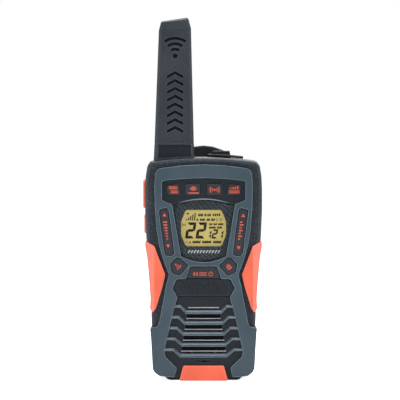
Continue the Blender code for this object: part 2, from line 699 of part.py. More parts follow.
CONTACT_LOW, CONTACT_HIGH = 10.3, 64.7
for number in range(3):
    x = (number - 1) * CELL_PITCH
    up = number != 1
    bottom = CELL_BOTTOM if up else CONTACT_LOW + 0.7 + NUB_HEIGHT
    top = bottom + CELL_TOP - CELL_BOTTOM
    cell = cylinder(f"battery_cell_{number + 1}", "Z", CELL_RADIUS, bottom, top, (x, CELL_Y), CELL_LABEL, 24)
    nub = (top - 1, top + NUB_HEIGHT) if up else (bottom - NUB_HEIGHT, bottom + 1)
    join(cell, cylinder(f"cell_nub_{number + 1}", "Z", 2.7, *nub, (x, CELL_Y), sides=12))
    smooth(cell)

box("contact_plate_lower", (-20.5, 3.5, CONTACT_LOW), (20.5, 12, CONTACT_LOW + 0.4), STEEL)
box("contact_plate_upper", (-20.5, 3.5, CONTACT_HIGH - 0.4), (20.5, 12, CONTACT_HIGH), STEEL)
SPRING_RISE = 1.7
springs = [
    (-CELL_PITCH, CONTACT_LOW + 1, SPRING_RISE),
    (0, CONTACT_HIGH - 1, -SPRING_RISE),
    (CELL_PITCH, CONTACT_LOW + 1, SPRING_RISE),
]
for number, (x, base, rise) in enumerate(springs, 1):
    route = []
    turns, points_in_turn = 2, 10
    for step in range(turns * points_in_turn + 1):
        part_way = step / (turns * points_in_turn)
        angle = 2 * math.pi * step / points_in_turn
        radius = 4.2 - 1.6 * part_way
        place = (x + radius * math.cos(angle), CELL_Y + radius * math.sin(angle), base + rise * part_way)
        route.append(place)
    wire(f"contact_spring_{number}", route, 0.3, STEEL)

DOOR_SHAPE = rectangle((-DOOR_HALF, DOOR_BOTTOM), (DOOR_HALF, DOOR_HINGE_Z), 0.9)
battery_door = plate("battery_door", DOOR_SHAPE, DOOR_BACK, DOOR_FRONT, CHARCOAL)
bevel(battery_door, 0.5, 2, at("Y", DOOR_FRONT))
join(battery_door, cylinder("door_knuckle", "X", 1.2, -20, 20, (DOOR_HINGE_Y, DOOR_HINGE_Z), sides=16))
cut(battery_door, cylinder("lock_bore", "Y", 2.3, 10, 20, (0, LOCK_Z), sides=16))
cut(battery_door, cylinder("lock_well", "Y", 4.9, 16.7, 20, (0, LOCK_Z), sides=24))
smooth(battery_door)

seal_outer = rectangle((-23, DOOR_BOTTOM + 0.1), (23, 65.9), 0.9)
seal_inner = rectangle((-22.3, BAY_BOTTOM - 0.1), (22.3, 65.2), 0.5)
door_seal = plate("door_seal", seal_outer, 15.1, 15.6, SEAL_RUBBER, holes=[seal_inner])

door_lock = cylinder("door_lock", "Y", 4.5, 17, 17.9, (0, LOCK_Z), BLACK, 24)
join(door_lock, cylinder("lock_shaft", "Y", 2, 15.6, 17.2, (0, LOCK_Z), sides=16))
cut(door_lock, box("lock_slot", (-3.6, 17.4, LOCK_Z - 0.5), (3.6, 19, LOCK_Z + 0.5)))
smooth(door_lock)
door_pivot = hang("battery_door_pivot", (0, DOOR_HINGE_Y, DOOR_HINGE_Z), battery_door, door_seal)
lock_pivot = hang("door_lock_pivot", (0, 17, LOCK_Z), door_lock)
lock_pivot.parent = door_pivot
lock_pivot.matrix_parent_inverse = door_pivot.matrix_world.inverted()

# --------------------------------------------------------------------------------------- belt clip

clip_carrier = box("clip_carrier", (-11, 17.5, 96), (11, 18.5, 113), BLACK)
bevel(clip_carrier, 0.4, 1)
join(clip_carrier, box("carrier_neck", (-4.6, 15.5, 96), (4.6, 18, 113)))
join(clip_carrier, box("carrier_key", (-7.6, 15.2, 96), (7.6, 15.8, 113)))


def lug(foot_y):
    """The side view of a lug: half a circle about the clip's pin, widening to a foot at a depth."""
    facing = math.copysign(1, CLIP_PIN_Y - foot_y)
    section = [(foot_y, CLIP_PIN_Z - 3.4)]
    for step in range(-4, 5):
        angle = math.pi / 2 * step / 4
        reach, rise = facing * LUG_RADIUS * math.cos(angle), LUG_RADIUS * math.sin(angle)
        section.append((CLIP_PIN_Y + reach, CLIP_PIN_Z + rise))
    return section + [(foot_y, CLIP_PIN_Z + 3.4)]


for side_name, start in (("left", -10.6), ("right", 8.2)):
    join(clip_carrier, plate(f"carrier_ear_{side_name}", lug(18), start, start + 2.4, view=FROM_SIDE))
pin_across = (CLIP_PIN_Y, CLIP_PIN_Z)
cut(clip_carrier, cylinder("carrier_bore", "X", CLIP_PIN_RADIUS + 0.2, -15, 15, pin_across, sides=16))

CLIP_HALF = (
    [(x, CLIP_TOP - 0.023 * x * x, 0) for x in (0, 5, 10)]
    + [(14.2, CLIP_TOP - 4.4, 1.8), (15, 114, 0), (13.2, 100, 0), (10.6, 76, 0), (9.6, CLIP_END, 4.5), (0, CLIP_END, 0)]
)
belt_clip = plate("belt_clip", mirrored(CLIP_HALF), CLIP_FRONT, CLIP_REAR, BLACK)
bevel(belt_clip, 0.7, 2)
join(belt_clip, box("clip_toe", (-6, 19.2, CLIP_END + 1), (6, CLIP_FRONT + 0.6, CLIP_END + 2.8)))
for side_name, start in (("left", -7.8), ("right", 5.4)):
    join(belt_clip, plate(f"clip_lug_{side_name}", lug(CLIP_FRONT + 0.6), start, start + 2.4, view=FROM_SIDE))
lug_bore = cylinder("lug_bore", "X", CLIP_PIN_RADIUS + 0.2, -12, 12, pin_across, sides=16)
cut(belt_clip, lug_bore)
smooth(belt_clip)
clip_pin = cylinder("clip_pin", "X", CLIP_PIN_RADIUS, -11.2, 11.2, pin_across, STEEL, 16)

spring_route = [(-4.4, 19.2, 102.2)]
SPRING_TURNS, SPRING_RADIUS = 4, 1.75
for step in range(SPRING_TURNS * 10 + 1):
    angle = math.pi + 2 * math.pi * step / 10
    x = -4.2 + 8.4 * step / (SPRING_TURNS * 10)
    y = CLIP_PIN_Y + SPRING_RADIUS * math.cos(angle)
    spring_route.append((x, y, CLIP_PIN_Z + SPRING_RADIUS * math.sin(angle)))
spring_route.append((4.4, 19.2, 102.2))
clip_spring = wire("clip_spring", spring_route, 0.35, STEEL)
carrier_pivot = hang("clip_carrier_pivot", (0, 17.5, 104), clip_carrier, clip_pin, clip_spring)
clip_pivot = hang("belt_clip_pivot", (0, CLIP_PIN_Y, CLIP_PIN_Z), belt_clip)
clip_pivot.parent = carrier_pivot
clip_pivot.matrix_parent_inverse = carrier_pivot.matrix_world.inverted()

# --------------------------------------------------------------------------------------- antenna


def lofted(name, levels, look=None):
    """A closed skin through rounded rectangles seen from above, lowest first.

    Each is (x and y of one corner, x and y of the opposite one, radius, z at its low-X end, rise to
    its high-X end).
    """
    mesh = bpy.data.meshes.new(name)
    work = bmesh.new()
    rings = []
    for low, high, radius, z, rise in levels:
        slope = rise / (high[0] - low[0])
        loop = rectangle(low, high, radius)
        rings.append([work.verts.new(Vector((x, y, z + slope * (x - low[0]))) * MM) for x, y in loop])
    for lower, upper in zip(rings, rings[1:]):
        for index in range(len(lower)):
            work.faces.new((lower[index - 1], lower[index], upper[index], upper[index - 1]))
    work.faces.new(rings[0])
    work.faces.new(rings[-1])
    bmesh.ops.recalc_face_normals(work, faces=work.faces)
    work.to_mesh(mesh)
    work.free()
    return add(name, mesh, look, None if look else cutters)


collar_outline = [(-27.4, crown(26.5) + GAP), (-27.4, COLLAR_TOP), (-4, COLLAR_TOP), (-4, crown(4.8) + GAP)]
collar_outline += [(x, crown(x) + GAP) for x in (-4.8, -9, -14, -18, -22, -26.5)]
antenna_collar = plate("antenna_collar", collar_outline, -12, 14, CHARCOAL)
collar_levels = [
    ((-26.7, -8.4), (-4.6, 10.4), 2.2, 113, 0),
    ((-26.1, -6.7), (-5.2, 8.7), 2.1, COLLAR_TOP + 0.5, 0),
]
boolean(antenna_collar, "INTERSECT", lofted("collar_form", collar_levels))
core_bore = cylinder("core_bore", "Z", 3.2, 112, 130, (ANTENNA_X, ANTENNA_Y), sides=16)
cut(antenna_collar, core_bore)
smooth(antenna_collar)

blade_levels = [
    ((-26.1, -6.6), (-5.2, 8.6), 2.1, COLLAR_TOP + GAP, 0),
    ((-23.8, -3.6), (-6.7, 5.6), 1.8, 185.6, 1.2),
    ((-22.7, -2.6), (-8.0, 4.6), 1.4, 189.8, 1.8),
    ((-21.9, -1.8), (-8.9, 3.8), 1.0, ANTENNA_TOP - 1.9, 1.9),
]
antenna_sleeve = lofted("antenna_sleeve", blade_levels, CHARCOAL)
cut(antenna_sleeve, box("sleeve_inside", (-20.2, -2.8, 120), (-11, 4.8, 178)))
smooth(antenna_sleeve)

antenna_core = cylinder("antenna_core", "Z", 2.4, 104, 174, (ANTENNA_X, ANTENNA_Y), DIFFUSER, 12)
coil_route = []
COIL_TURNS, COIL_RADIUS, COIL_LOW, COIL_HIGH = 5, 3.2, 129, 171
for step in range(COIL_TURNS * 9 + 1):
    angle = 2 * math.pi * step / 9
    x, y = ANTENNA_X + COIL_RADIUS * math.cos(angle), ANTENNA_Y + COIL_RADIUS * math.sin(angle)
    coil_route.append((x, y, COIL_LOW + (COIL_HIGH - COIL_LOW) * step / (COIL_TURNS * 9)))
wire("antenna_coil", coil_route, 0.35, BRASS)

# --------------------------------------------------------------------------------------- jack and cover

jack_socket = box("jack_socket", (5.6, 5.6, 103), (15.4, 10.9, 114.8), BLACK)
cut(jack_socket, cylinder("jack_bore", "Z", 1.3, 106, 120, (7.6, 8.2), sides=12))
cut(jack_socket, box("usb_slot", (10, 6.9, 106), (14.6, 9.5, 120)))

cover_x = (2.2, 6, 10, 14, 18, 21.2)
cover_outline = [(x, crown(x) + GAP) for x in cover_x] + [(x, crown(x) + 1.5) for x in reversed(cover_x)]
jack_cover = plate("jack_cover", cover_outline, 4.2, 12.4, SEAL_RUBBER)
join(jack_cover, plate("cover_tab", [(4.4, 118.6), (14.4, 118.6), (14, 121.2), (4.8, 121.2)], 4.8, 11.8))
join(jack_cover, box("cover_plug", (6.6, 6.2, 116.6), (14.4, 10.3, 118.9)))
bevel(jack_cover, 0.25, 1)
hang("jack_cover_pivot", (COVER_HINGE_X, 8.3, COVER_HINGE_Z), smooth(jack_cover))

# --------------------------------------------------------------------------------------- screws

for number, (x, z) in enumerate(SCREW_PLACES, 1):
    screw = cylinder(f"case_screw_{number}", "Y", 2, 15.6, 16.9, (x, z), STEEL, 16)
    join(screw, cylinder(f"screw_shank_{number}", "Y", 1.2, -4, 16, (x, z), sides=10))
    for label, wide, tall in (("across", 1.3, 0.3), ("upright", 0.3, 1.3)):
        cut(screw, box(f"screw_{label}_{number}", (x - wide, 16.3, z - tall), (x + wide, 18, z + tall)))
    smooth(screw)
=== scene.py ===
"""Looks of a handheld two-way radio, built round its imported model. Sizes are in millimetres."""

import math

import bmesh
import bpy
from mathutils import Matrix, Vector


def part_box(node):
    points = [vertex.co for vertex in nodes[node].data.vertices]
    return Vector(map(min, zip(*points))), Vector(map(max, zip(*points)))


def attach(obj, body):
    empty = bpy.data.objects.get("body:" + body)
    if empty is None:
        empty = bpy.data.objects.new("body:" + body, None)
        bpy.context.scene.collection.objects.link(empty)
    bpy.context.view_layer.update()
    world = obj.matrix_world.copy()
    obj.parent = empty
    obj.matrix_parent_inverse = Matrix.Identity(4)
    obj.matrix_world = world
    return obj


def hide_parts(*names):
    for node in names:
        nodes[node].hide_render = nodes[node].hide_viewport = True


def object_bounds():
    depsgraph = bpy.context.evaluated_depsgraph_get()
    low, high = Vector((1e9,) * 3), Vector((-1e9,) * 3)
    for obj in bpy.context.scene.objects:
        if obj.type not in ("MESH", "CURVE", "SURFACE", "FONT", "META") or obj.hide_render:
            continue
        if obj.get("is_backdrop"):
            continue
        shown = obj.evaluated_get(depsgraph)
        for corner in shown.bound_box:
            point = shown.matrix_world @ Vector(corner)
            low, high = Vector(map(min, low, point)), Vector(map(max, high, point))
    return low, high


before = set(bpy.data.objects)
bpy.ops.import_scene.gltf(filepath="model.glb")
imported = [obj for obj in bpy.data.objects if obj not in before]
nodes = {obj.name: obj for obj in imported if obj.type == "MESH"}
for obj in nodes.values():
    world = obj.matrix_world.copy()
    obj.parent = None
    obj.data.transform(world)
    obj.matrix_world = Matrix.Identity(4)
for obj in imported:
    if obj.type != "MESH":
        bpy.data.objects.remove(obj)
cad_low, cad_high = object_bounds()

# ------------------------------------------------------------------------------------------ studio
# A pale floor under a white surround, one big soft light above, a weaker one at each side and one
# behind. The camera looks straight at the face from far off and a little above.

MM = 0.001
FRAME_HEIGHT = 0.212
CAMERA_DISTANCE = 1.6
CAMERA_RISE = math.radians(2.5)
AIM = Vector((-0.0019, -0.012, 0.0957))
FLOOR_SIZE = 3.0
FLOOR_DROP = 0.2
FLOOR_GLOW = 0.8
SURROUND_FILL = 0.27

scene = bpy.context.scene
scene.view_settings.view_transform = "Standard"

floor_mesh = bpy.data.meshes.new("floor")
work = bmesh.new()
bmesh.ops.create_grid(work, x_segments=1, y_segments=1, size=FLOOR_SIZE)
work.to_mesh(floor_mesh)
work.free()
floor = bpy.data.objects.new("floor", floor_mesh)
floor.location.z = cad_low.z - FLOOR_DROP * MM
scene.collection.objects.link(floor)

# The floor shines a little to the eye alone, which leaves only a faint shadow.
floor_paint = bpy.data.materials.new("pale_floor")
floor_paint.use_nodes = True
floor_look = floor_paint.node_tree
floor_shader = floor_look.nodes["Principled BSDF"]
floor_shader.inputs["Base Color"].default_value = (0.93, 0.93, 0.93, 1)
floor_shader.inputs["Roughness"].default_value = 0.95
floor_shader.inputs["Specular IOR Level"].default_value = 0.1
floor_shader.inputs["Emission Color"].default_value = (1, 1, 1, 1)
floor_seen = floor_look.nodes.new("ShaderNodeLightPath")
floor_glow = floor_look.nodes.new("ShaderNodeMath")
floor_glow.operation = "MULTIPLY"
floor_glow.inputs[1].default_value = FLOOR_GLOW
floor_look.links.new(floor_seen.outputs["Is Camera Ray"], floor_glow.inputs[0])
floor_look.links.new(floor_glow.outputs[0], floor_shader.inputs["Emission Strength"])
floor_mesh.materials.append(floor_paint)
floor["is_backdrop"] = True

# The surround is white to the eye and dimmer as a light, so that black plastic stays black.
world = bpy.data.worlds.new("studio")
scene.world = world
world.use_nodes = True
sky = world.node_tree
fill = sky.nodes["Background"]
fill.inputs["Color"].default_value = (0.95, 0.97, 1, 1)
fill.inputs["Strength"].default_value = SURROUND_FILL
backdrop = sky.nodes.new("ShaderNodeBackground")
backdrop.inputs["Strength"].default_value = 1.0
backdrop.inputs["Color"].default_value = (1, 1, 1, 1)
seen = sky.nodes.new("ShaderNodeLightPath")
either = sky.nodes.new("ShaderNodeMixShader")
sky.links.new(seen.outputs["Is Camera Ray"], either.inputs[0])
sky.links.new(fill.outputs[0], either.inputs[1])
sky.links.new(backdrop.outputs[0], either.inputs[2])
sky.links.new(either.outputs[0], sky.nodes["World Output"].inputs["Surface"])


def soft_light(name, place, size, power):
    """A rectangular light that faces the middle of the radio."""
    light = bpy.data.lights.new(name, "AREA")
    light.shape = "RECTANGLE"
    light.size, light.size_y = size
    light.energy = power
    made = bpy.data.objects.new(name, light)
    made.location = place
    made.rotation_euler = (AIM - Vector(place)).to_track_quat("-Z", "Y").to_euler()
    scene.collection.objects.link(made)


soft_light("light_above", (-0.05, -0.06, 0.85), (0.9, 0.35), 13.0)
soft_light("light_left", (-0.95, -0.5, 0.15), (0.35, 0.7), 5.2)
soft_light("light_right", (0.95, -0.45, 0.15), (0.35, 0.7), 4.8)
soft_light("light_behind", (0.2, 0.9, 0.6), (0.8, 0.5), 4.0)

camera_data = bpy.data.cameras.new("camera")
camera_data.lens = camera_data.sensor_width * CAMERA_DISTANCE / FRAME_HEIGHT
camera = bpy.data.objects.new("camera", camera_data)
away = Vector((0, -math.cos(CAMERA_RISE), math.sin(CAMERA_RISE)))
camera.location = AIM + away * CAMERA_DISTANCE
camera.rotation_euler = (-away).to_track_quat("-Z", "Y").to_euler()
scene.collection.objects.link(camera)
scene.camera = camera

# ------------------------------------------------------------------------------------------ casing
# Two halves moulded in charcoal ABS with a fine spark-eroded grain, screwed together from behind
# over a rubber seal. Their edges are painted paler: partly wear from handling, partly a painted
# highlight on the rims that catch the light from above.


def new_group(name, inputs, outputs):
    """A shader group. inputs gives each socket's first value, a colour or a number."""
    group = bpy.data.node_groups.new(name, "ShaderNodeTree")
    for label, value in inputs.items():
        kind = "NodeSocketColor" if isinstance(value, tuple) else "NodeSocketFloat"
        group.interface.new_socket(label, in_out="INPUT", socket_type=kind).default_value = value
    for label in outputs:
        kind = "NodeSocketColor" if label == "Color" else "NodeSocketFloat"
        group.interface.new_socket(label, in_out="OUTPUT", socket_type=kind)
    given = group.nodes.new("NodeGroupInput").outputs
    return group, given, group.nodes.new("NodeGroupOutput").inputs


def put(tree, kind, inputs, **settings):
    """A node. inputs gives each socket, by name or number, a value or another node's output."""
    made = tree.nodes.new(kind)
    for label, value in settings.items():
        setattr(made, label, value)
    for label, value in inputs.items():
        if isinstance(value, bpy.types.NodeSocket):
            tree.links.new(value, made.inputs[label])
        else:
            made.inputs[label].default_value = value
    return made


def reckon(tree, operation, *values):
    """The result of a Math node."""
    return put(tree, "ShaderNodeMath", dict(enumerate(values)), operation=operation).outputs[0]


def spread(tree, value, low, high, out_low=0.0, out_high=1.0):
    """A value from low to high, made to run from out_low to out_high and no further."""
    inputs = {"Value": value, "From Min": low, "From Max": high, "To Min": out_low, "To Max": out_high}
    return put(tree, "ShaderNodeMapRange", inputs).outputs[0]


def blended(tree, factor, first, second):
    """Two colours mixed by a factor."""
    return put(tree, "ShaderNodeMix", {0: factor, 6: first, 7: second}, data_type="RGBA").outputs[2]


def noise(tree, place, scale, detail=2.0):
    """A cloudy value about 0.5 that varies over the surface."""
    inputs = {"Vector": place, "Scale": scale, "Detail": detail, "Roughness": 0.6}
    return put(tree, "ShaderNodeTexNoise", inputs).outputs[0]


# Moulding grain: the mould's fine pits, paler specks on their crests, and a cloudy drift of tone.
CLOUD_SCALE = 45.0
grain, given, result = new_group(
    "moulding_grain",
    {
        "Base": (0.03, 0.03, 0.03, 1),
        "Speck": (0.1, 0.1, 0.1, 1),
        "Pits Per Metre": 2000.0,
        "Amount": 0.3,
        "Gloss": 0.5,
    },
    ["Color", "Roughness", "Height"],
)
place = put(grain, "ShaderNodeTexCoord", {}).outputs["Object"]
pits = noise(grain, place, given["Pits Per Metre"], 3.0)
cloud = noise(grain, place, CLOUD_SCALE)
specks = reckon(grain, "MULTIPLY", spread(grain, pits, 0.5, 0.75), given["Amount"])
drift = spread(grain, cloud, 0.3, 0.7, 0.88, 1.12)
speckled = blended(grain, specks, given["Base"], given["Speck"])
toned = put(grain, "ShaderNodeVectorMath", {0: speckled, "Scale": drift}, operation="SCALE").outputs[0]
grain.links.new(toned, result["Color"])
grain.links.new(reckon(grain, "MULTIPLY", given["Gloss"], drift), result["Roughness"])
grain.links.new(pits, result["Height"])

# Edge wear and edge highlight: a mask that is highest on edges, and weaker where hands and cloth
# miss them. What it paints paler is partly wear and partly a painted highlight on lit edges.
PATCH_SCALE = 60.0
wear_and_highlight_group, given, result = new_group("edge_wear_and_highlight", {"Width": 0.0005, "Amount": 0.5}, ["Mask"])
round_normal = put(wear_and_highlight_group, "ShaderNodeBevel", {"Radius": given["Width"]}, samples=6).outputs[0]
flat_normal = put(wear_and_highlight_group, "ShaderNodeNewGeometry", {}).outputs["Normal"]
normals = {0: round_normal, 1: flat_normal}
alike = put(wear_and_highlight_group, "ShaderNodeVectorMath", normals, operation="DOT_PRODUCT").outputs["Value"]
edge = spread(wear_and_highlight_group, alike, 0.992, 0.9)
place = put(wear_and_highlight_group, "ShaderNodeTexCoord", {}).outputs["Object"]
patchy = spread(wear_and_highlight_group, noise(wear_and_highlight_group, place, PATCH_SCALE), 0.3, 0.6, 0.6, 1.0)
rubbed_and_lit = reckon(wear_and_highlight_group, "MULTIPLY", reckon(wear_and_highlight_group, "MULTIPLY", edge, patchy), given["Amount"])
wear_and_highlight_group.links.new(rubbed_and_lit, result["Mask"])


def moulded(
    name, base, speck, pit=0.5, amount=0.3, gloss=0.5, dent=0.03, shine=0.35, worn_and_lit=None, wear_and_highlight=0.5
):
    """Moulded plastic or rubber.

    pit, dent and amount are the grain's width, its depth and how much its pale specks show. gloss is
    the roughness, shine the specular level. The last two give the paler colour of the edges and its
    strength: partly rubbed wear, partly a painted highlight along edges that catch the light.
    """
    made = bpy.data.materials.new(name)
    made.use_nodes = True
    tree = made.node_tree
    shader = tree.nodes["Principled BSDF"]
    shader.inputs["Specular IOR Level"].default_value = shine
    finish = tree.nodes.new("ShaderNodeGroup")
    finish.node_tree = grain
    finish.inputs["Base"].default_value = (*base, 1)
    finish.inputs["Speck"].default_value = (*speck, 1)
    finish.inputs["Pits Per Metre"].default_value = 1 / (pit * MM)
    finish.inputs["Amount"].default_value = amount
    finish.inputs["Gloss"].default_value = gloss
    colour = finish.outputs["Color"]
    if worn_and_lit:
        edges = tree.nodes.new("ShaderNodeGroup")
        edges.node_tree = wear_and_highlight_group
        edges.inputs["Amount"].default_value = wear_and_highlight
        colour = blended(tree, edges.outputs["Mask"], colour, (*worn_and_lit, 1))
    dents = {"Strength": 0.5, "Distance": dent * MM, "Height": finish.outputs["Height"]}
    bump = put(tree, "ShaderNodeBump", dents)
    tree.links.new(colour, shader.inputs["Base Color"])
    tree.links.new(finish.outputs["Roughness"], shader.inputs["Roughness"])
    tree.links.new(bump.outputs["Normal"], shader.inputs["Normal"])
    return made


def finish_with(paint, *names):
    """Gives CAD nodes a material."""
    for name in names:
        for holder in nodes[name].material_slots:
            holder.material = paint


charcoal = moulded(
    "charcoal_abs",
    base=(0.0135, 0.0195, 0.0275),
    speck=(0.09, 0.105, 0.125),
    pit=0.65,
    amount=0.6,
    gloss=0.42,
    dent=0.06,
    shine=0.32,
    worn_and_lit=(0.15, 0.16, 0.175),
    wear_and_highlight=0.8,
)
seal_rubber = moulded("seal_rubber", (0.01, 0.01, 0.011), (0.03, 0.03, 0.03), pit=0.6, gloss=0.75)
finish_with(charcoal, "front_shell", "rear_shell")
finish_with(seal_rubber, "shell_seal")


def metal(name, base, gloss, lines=700.0, dent=0.01):
    """Drawn or turned metal, with fine lines and a little stain. lines is how many pass in a metre."""
    made = bpy.data.materials.new(name)
    made.use_nodes = True
    tree = made.node_tree
    shader = tree.nodes["Principled BSDF"]
    shader.inputs["Metallic"].default_value = 1.0
    place = put(tree, "ShaderNodeTexCoord", {}).outputs["Object"]
    squeeze = {0: place, 1: (1, 1, 12)}
    drawn = put(tree, "ShaderNodeVectorMath", squeeze, operation="MULTIPLY").outputs[0]
    scratch = noise(tree, drawn, lines, 3.0)
    stain = spread(tree, noise(tree, place, 90.0), 0.35, 0.7)
    dull = tuple(part * 0.7 for part in base)
    tree.links.new(blended(tree, stain, (*base, 1), (*dull, 1)), shader.inputs["Base Color"])
    roughness = spread(tree, scratch, 0.3, 0.7, gloss - 0.08, gloss + 0.12)
    tree.links.new(roughness, shader.inputs["Roughness"])
    bump = put(tree, "ShaderNodeBump", {"Strength": 0.3, "Distance": dent * MM, "Height": scratch})
    tree.links.new(bump.outputs["Normal"], shader.inputs["Normal"])
    return made


steel = metal("plated_steel", (0.56, 0.57, 0.59), 0.3)
finish_with(steel, "case_screw_1", "case_screw_2", "case_screw_3", "case_screw_4")

# ------------------------------------------------------------------------------------------- bezel
# One slate-blue ABS plate over the face, satin where the casing is grained. It carries the louvre
# bars, wraps the two lower corners, and is welded to the front half.

# Its much paler edge colour is partly wear and partly a painted highlight on the chamfers round its
# openings and rim.
slate = moulded(
    "slate_abs",
    base=(0.034, 0.056, 0.074),
    speck=(0.06, 0.088, 0.108),
    pit=0.4,
    gloss=0.4,
    dent=0.012,
    worn_and_lit=(0.27, 0.35, 0.4),
    wear_and_highlight=0.85,
)
finish_with(slate, "face_bezel")

# ------------------------------------------------------------------------------- grips and bumper
# Orange elastomer moulded over the casing: a pad on each side, which folds from the face onto the
# side, and a bumper with a lip under the base. The skin is matt and scuffed paler on its corners.
# Surfaces that face sideways are painted paler still: a painted sheen for the side light there.

SIDE_SHEEN_ORANGE = (0.69, 0.175, 0.125, 1)
orange = moulded(
    "orange_elastomer",
    base=(0.72, 0.115, 0.06),
    speck=(0.82, 0.2, 0.125),
    pit=0.6,
    gloss=0.55,
    dent=0.02,
    shine=0.3,
    worn_and_lit=(0.93, 0.34, 0.24),
    wear_and_highlight=0.6,
)
# Faces turned sideways are blended to a paler orange: a painted sheen for the side light on the outer
# facets.
tree = orange.node_tree
shader = tree.nodes["Principled BSDF"]
front_colour = shader.inputs["Base Color"].links[0].from_socket
facing = put(tree, "ShaderNodeTexCoord", {}).outputs["Normal"]
sideways = put(tree, "ShaderNodeSeparateXYZ", {0: facing}).outputs["X"]
side_sheen = spread(tree, reckon(tree, "ABSOLUTE", sideways), 0.3, 0.5)
tree.links.new(blended(tree, side_sheen, front_colour, SIDE_SHEEN_ORANGE), shader.inputs["Base Color"])
finish_with(orange, "grip_left", "grip_right", "bottom_bumper")

# ------------------------------------------------------------------------------------ side buttons
# Two buttons of the same elastomer in the left wall: talk above, power boost below. Each has
# grooves across it for the thumb, and is held in by a flange behind the wall.

GROOVE_DEPTH = 0.45
GROOVE_HEIGHT = 0.7
GROOVE_MARGIN = 3.2
GROOVE_END = 2.6


def prism(name, outlines, front, back, lean=lambda z: 0.0):
    """A mesh object of outlines, each a list of (x, z), made solid between two depths along Y.

    lean moves the two depths by an amount that depends on z.
    """
    mesh = bpy.data.meshes.new(name)
    work = bmesh.new()
    for outline in outlines:
        rings = []
        for depth in (front, back):
            rings.append([work.verts.new(Vector((x, depth + lean(z), z)) * MM) for x, z in outline])
        for index in range(len(outline)):
            work.faces.new((rings[0][index - 1], rings[0][index], rings[1][index], rings[1][index - 1]))
        work.faces.new(rings[0])
        work.faces.new(rings[1])
    bmesh.ops.recalc_face_normals(work, faces=work.faces)
    work.to_mesh(mesh)
    work.free()
    made = bpy.data.objects.new(name, mesh)
    scene.collection.objects.link(made)
    return made


def oblong(x_low, z_low, x_high, z_high, slant=0.0):
    """A rectangle's corners, its top pushed sideways by a slant."""
    push = (z_high - z_low) * slant
    return [(x_low, z_low), (x_high, z_low), (x_high + push, z_high), (x_low + push, z_high)]


def carved(name, node, cutter, body, cut_paint=None):
    """A CAD node's mesh with a cutter taken out of it. The cuts' own faces may take another paint."""
    piece = bpy.data.objects.new(name, nodes[node].data.copy())
    scene.collection.objects.link(piece)
    if cut_paint:
        piece.data.materials.append(cut_paint)
        cutter.data.materials.append(cut_paint)
    step = piece.modifiers.new("carve", "BOOLEAN")
    step.object = cutter
    step.solver = "EXACT"
    step.material_mode = "TRANSFER" if cut_paint else "INDEX"
    bpy.context.view_layer.update()
    mesh = bpy.data.meshes.new_from_object(piece.evaluated_get(bpy.context.evaluated_depsgraph_get()))
    piece.modifiers.clear()
    piece.data = mesh
    bpy.data.objects.remove(cutter, do_unlink=True)
    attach(piece, body)
    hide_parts(node)
    return piece


for button, groove_levels in (("ptt_button", 6), ("boost_button", 4)):
    low, high = (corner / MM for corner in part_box(button))
    face_low, face_high = low.z + GROOVE_MARGIN, high.z - GROOVE_MARGIN
    grooves = []
    for step in range(groove_levels):
        z = face_low + (face_high - face_low) * step / (groove_levels - 1)
        bottom, top = z - GROOVE_HEIGHT / 2, z + GROOVE_HEIGHT / 2
        grooves.append(oblong(low.x - 1, bottom, low.x + GROOVE_DEPTH, top))
    cutter = prism(button + "_grooves", grooves, low.y + GROOVE_END, high.y - GROOVE_END)
    finish_with(orange, button)
    carved(button.replace("_button", "_cap"), button, cutter, button)

# ------------------------------------------------------------------------------------ keypad panel
# A black ABS panel behind the bezel's upper opening. Four keys come through it. A thin pale grey
# line along its lower edge, over the window, is a painted highlight on that edge.

ARCH_HALF_LENGTH = 13.2
ARCH_TOP, ARCH_FALL = 96.35, 0.0118
ARCH_HALF_WIDTH, ARCH_TIP = 0.28, 0.06
ARCH_STEPS = 12
INK_DEPTH = 0.04

black = moulded(
    "black_abs",
    base=(0.009, 0.0135, 0.019),
    speck=(0.03, 0.038, 0.048),
    pit=0.4,
    amount=0.35,
    gloss=0.42,
    dent=0.02,
    shine=0.25,
    worn_and_lit=(0.07, 0.085, 0.1),
    wear_and_highlight=0.6,
)
finish_with(black, "keypad_panel")


def ink(name, colour, gloss=0.5):
    """Printed ink: a thin coat, a little uneven, worn through to paler flecks."""
    flecks = tuple(min(1.0, part * 1.5 + 0.02) for part in colour)
    return moulded(name, colour, flecks, pit=0.3, amount=0.35, gloss=gloss, dent=0.004, shine=0.3)


def printed(name, outlines, face, paint, body, proud=INK_DEPTH):
    """Printed or inlaid marks on a face that looks forward, at a depth along Y."""
    made = prism(name, outlines, face - proud, face)
    made.data.materials.append(paint)
    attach(made, body)
    return made


# The pale arch is a painted highlight, laid on as a thin grey print.
arch_painted_highlight = ink("arch_painted_highlight", (0.2, 0.225, 0.245), 0.35)
upper_edge, lower_edge = [], []
for step in range(-ARCH_STEPS, ARCH_STEPS + 1):
    x = ARCH_HALF_LENGTH * step / ARCH_STEPS
    middle = ARCH_TOP - ARCH_FALL * x * x
    half = ARCH_TIP + (ARCH_HALF_WIDTH - ARCH_TIP) * (1 - (step / ARCH_STEPS) ** 2)
    upper_edge.append((x, middle + half))
    lower_edge.append((x, middle - half))
PANEL_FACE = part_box("keypad_panel")[0].y / MM
line = [upper_edge + lower_edge[::-1]]
printed("window_edge_highlight", line, PANEL_FACE, arch_painted_highlight, "housing")

# -------------------------------------------------------------------------------------------- keys
# Seven silicone caps and two rockers with a matt skin, pressed from the front. Each carries its sign
# in orange ink: menu, monitor, scan, level, call, lock, power and the rockers' arrows.

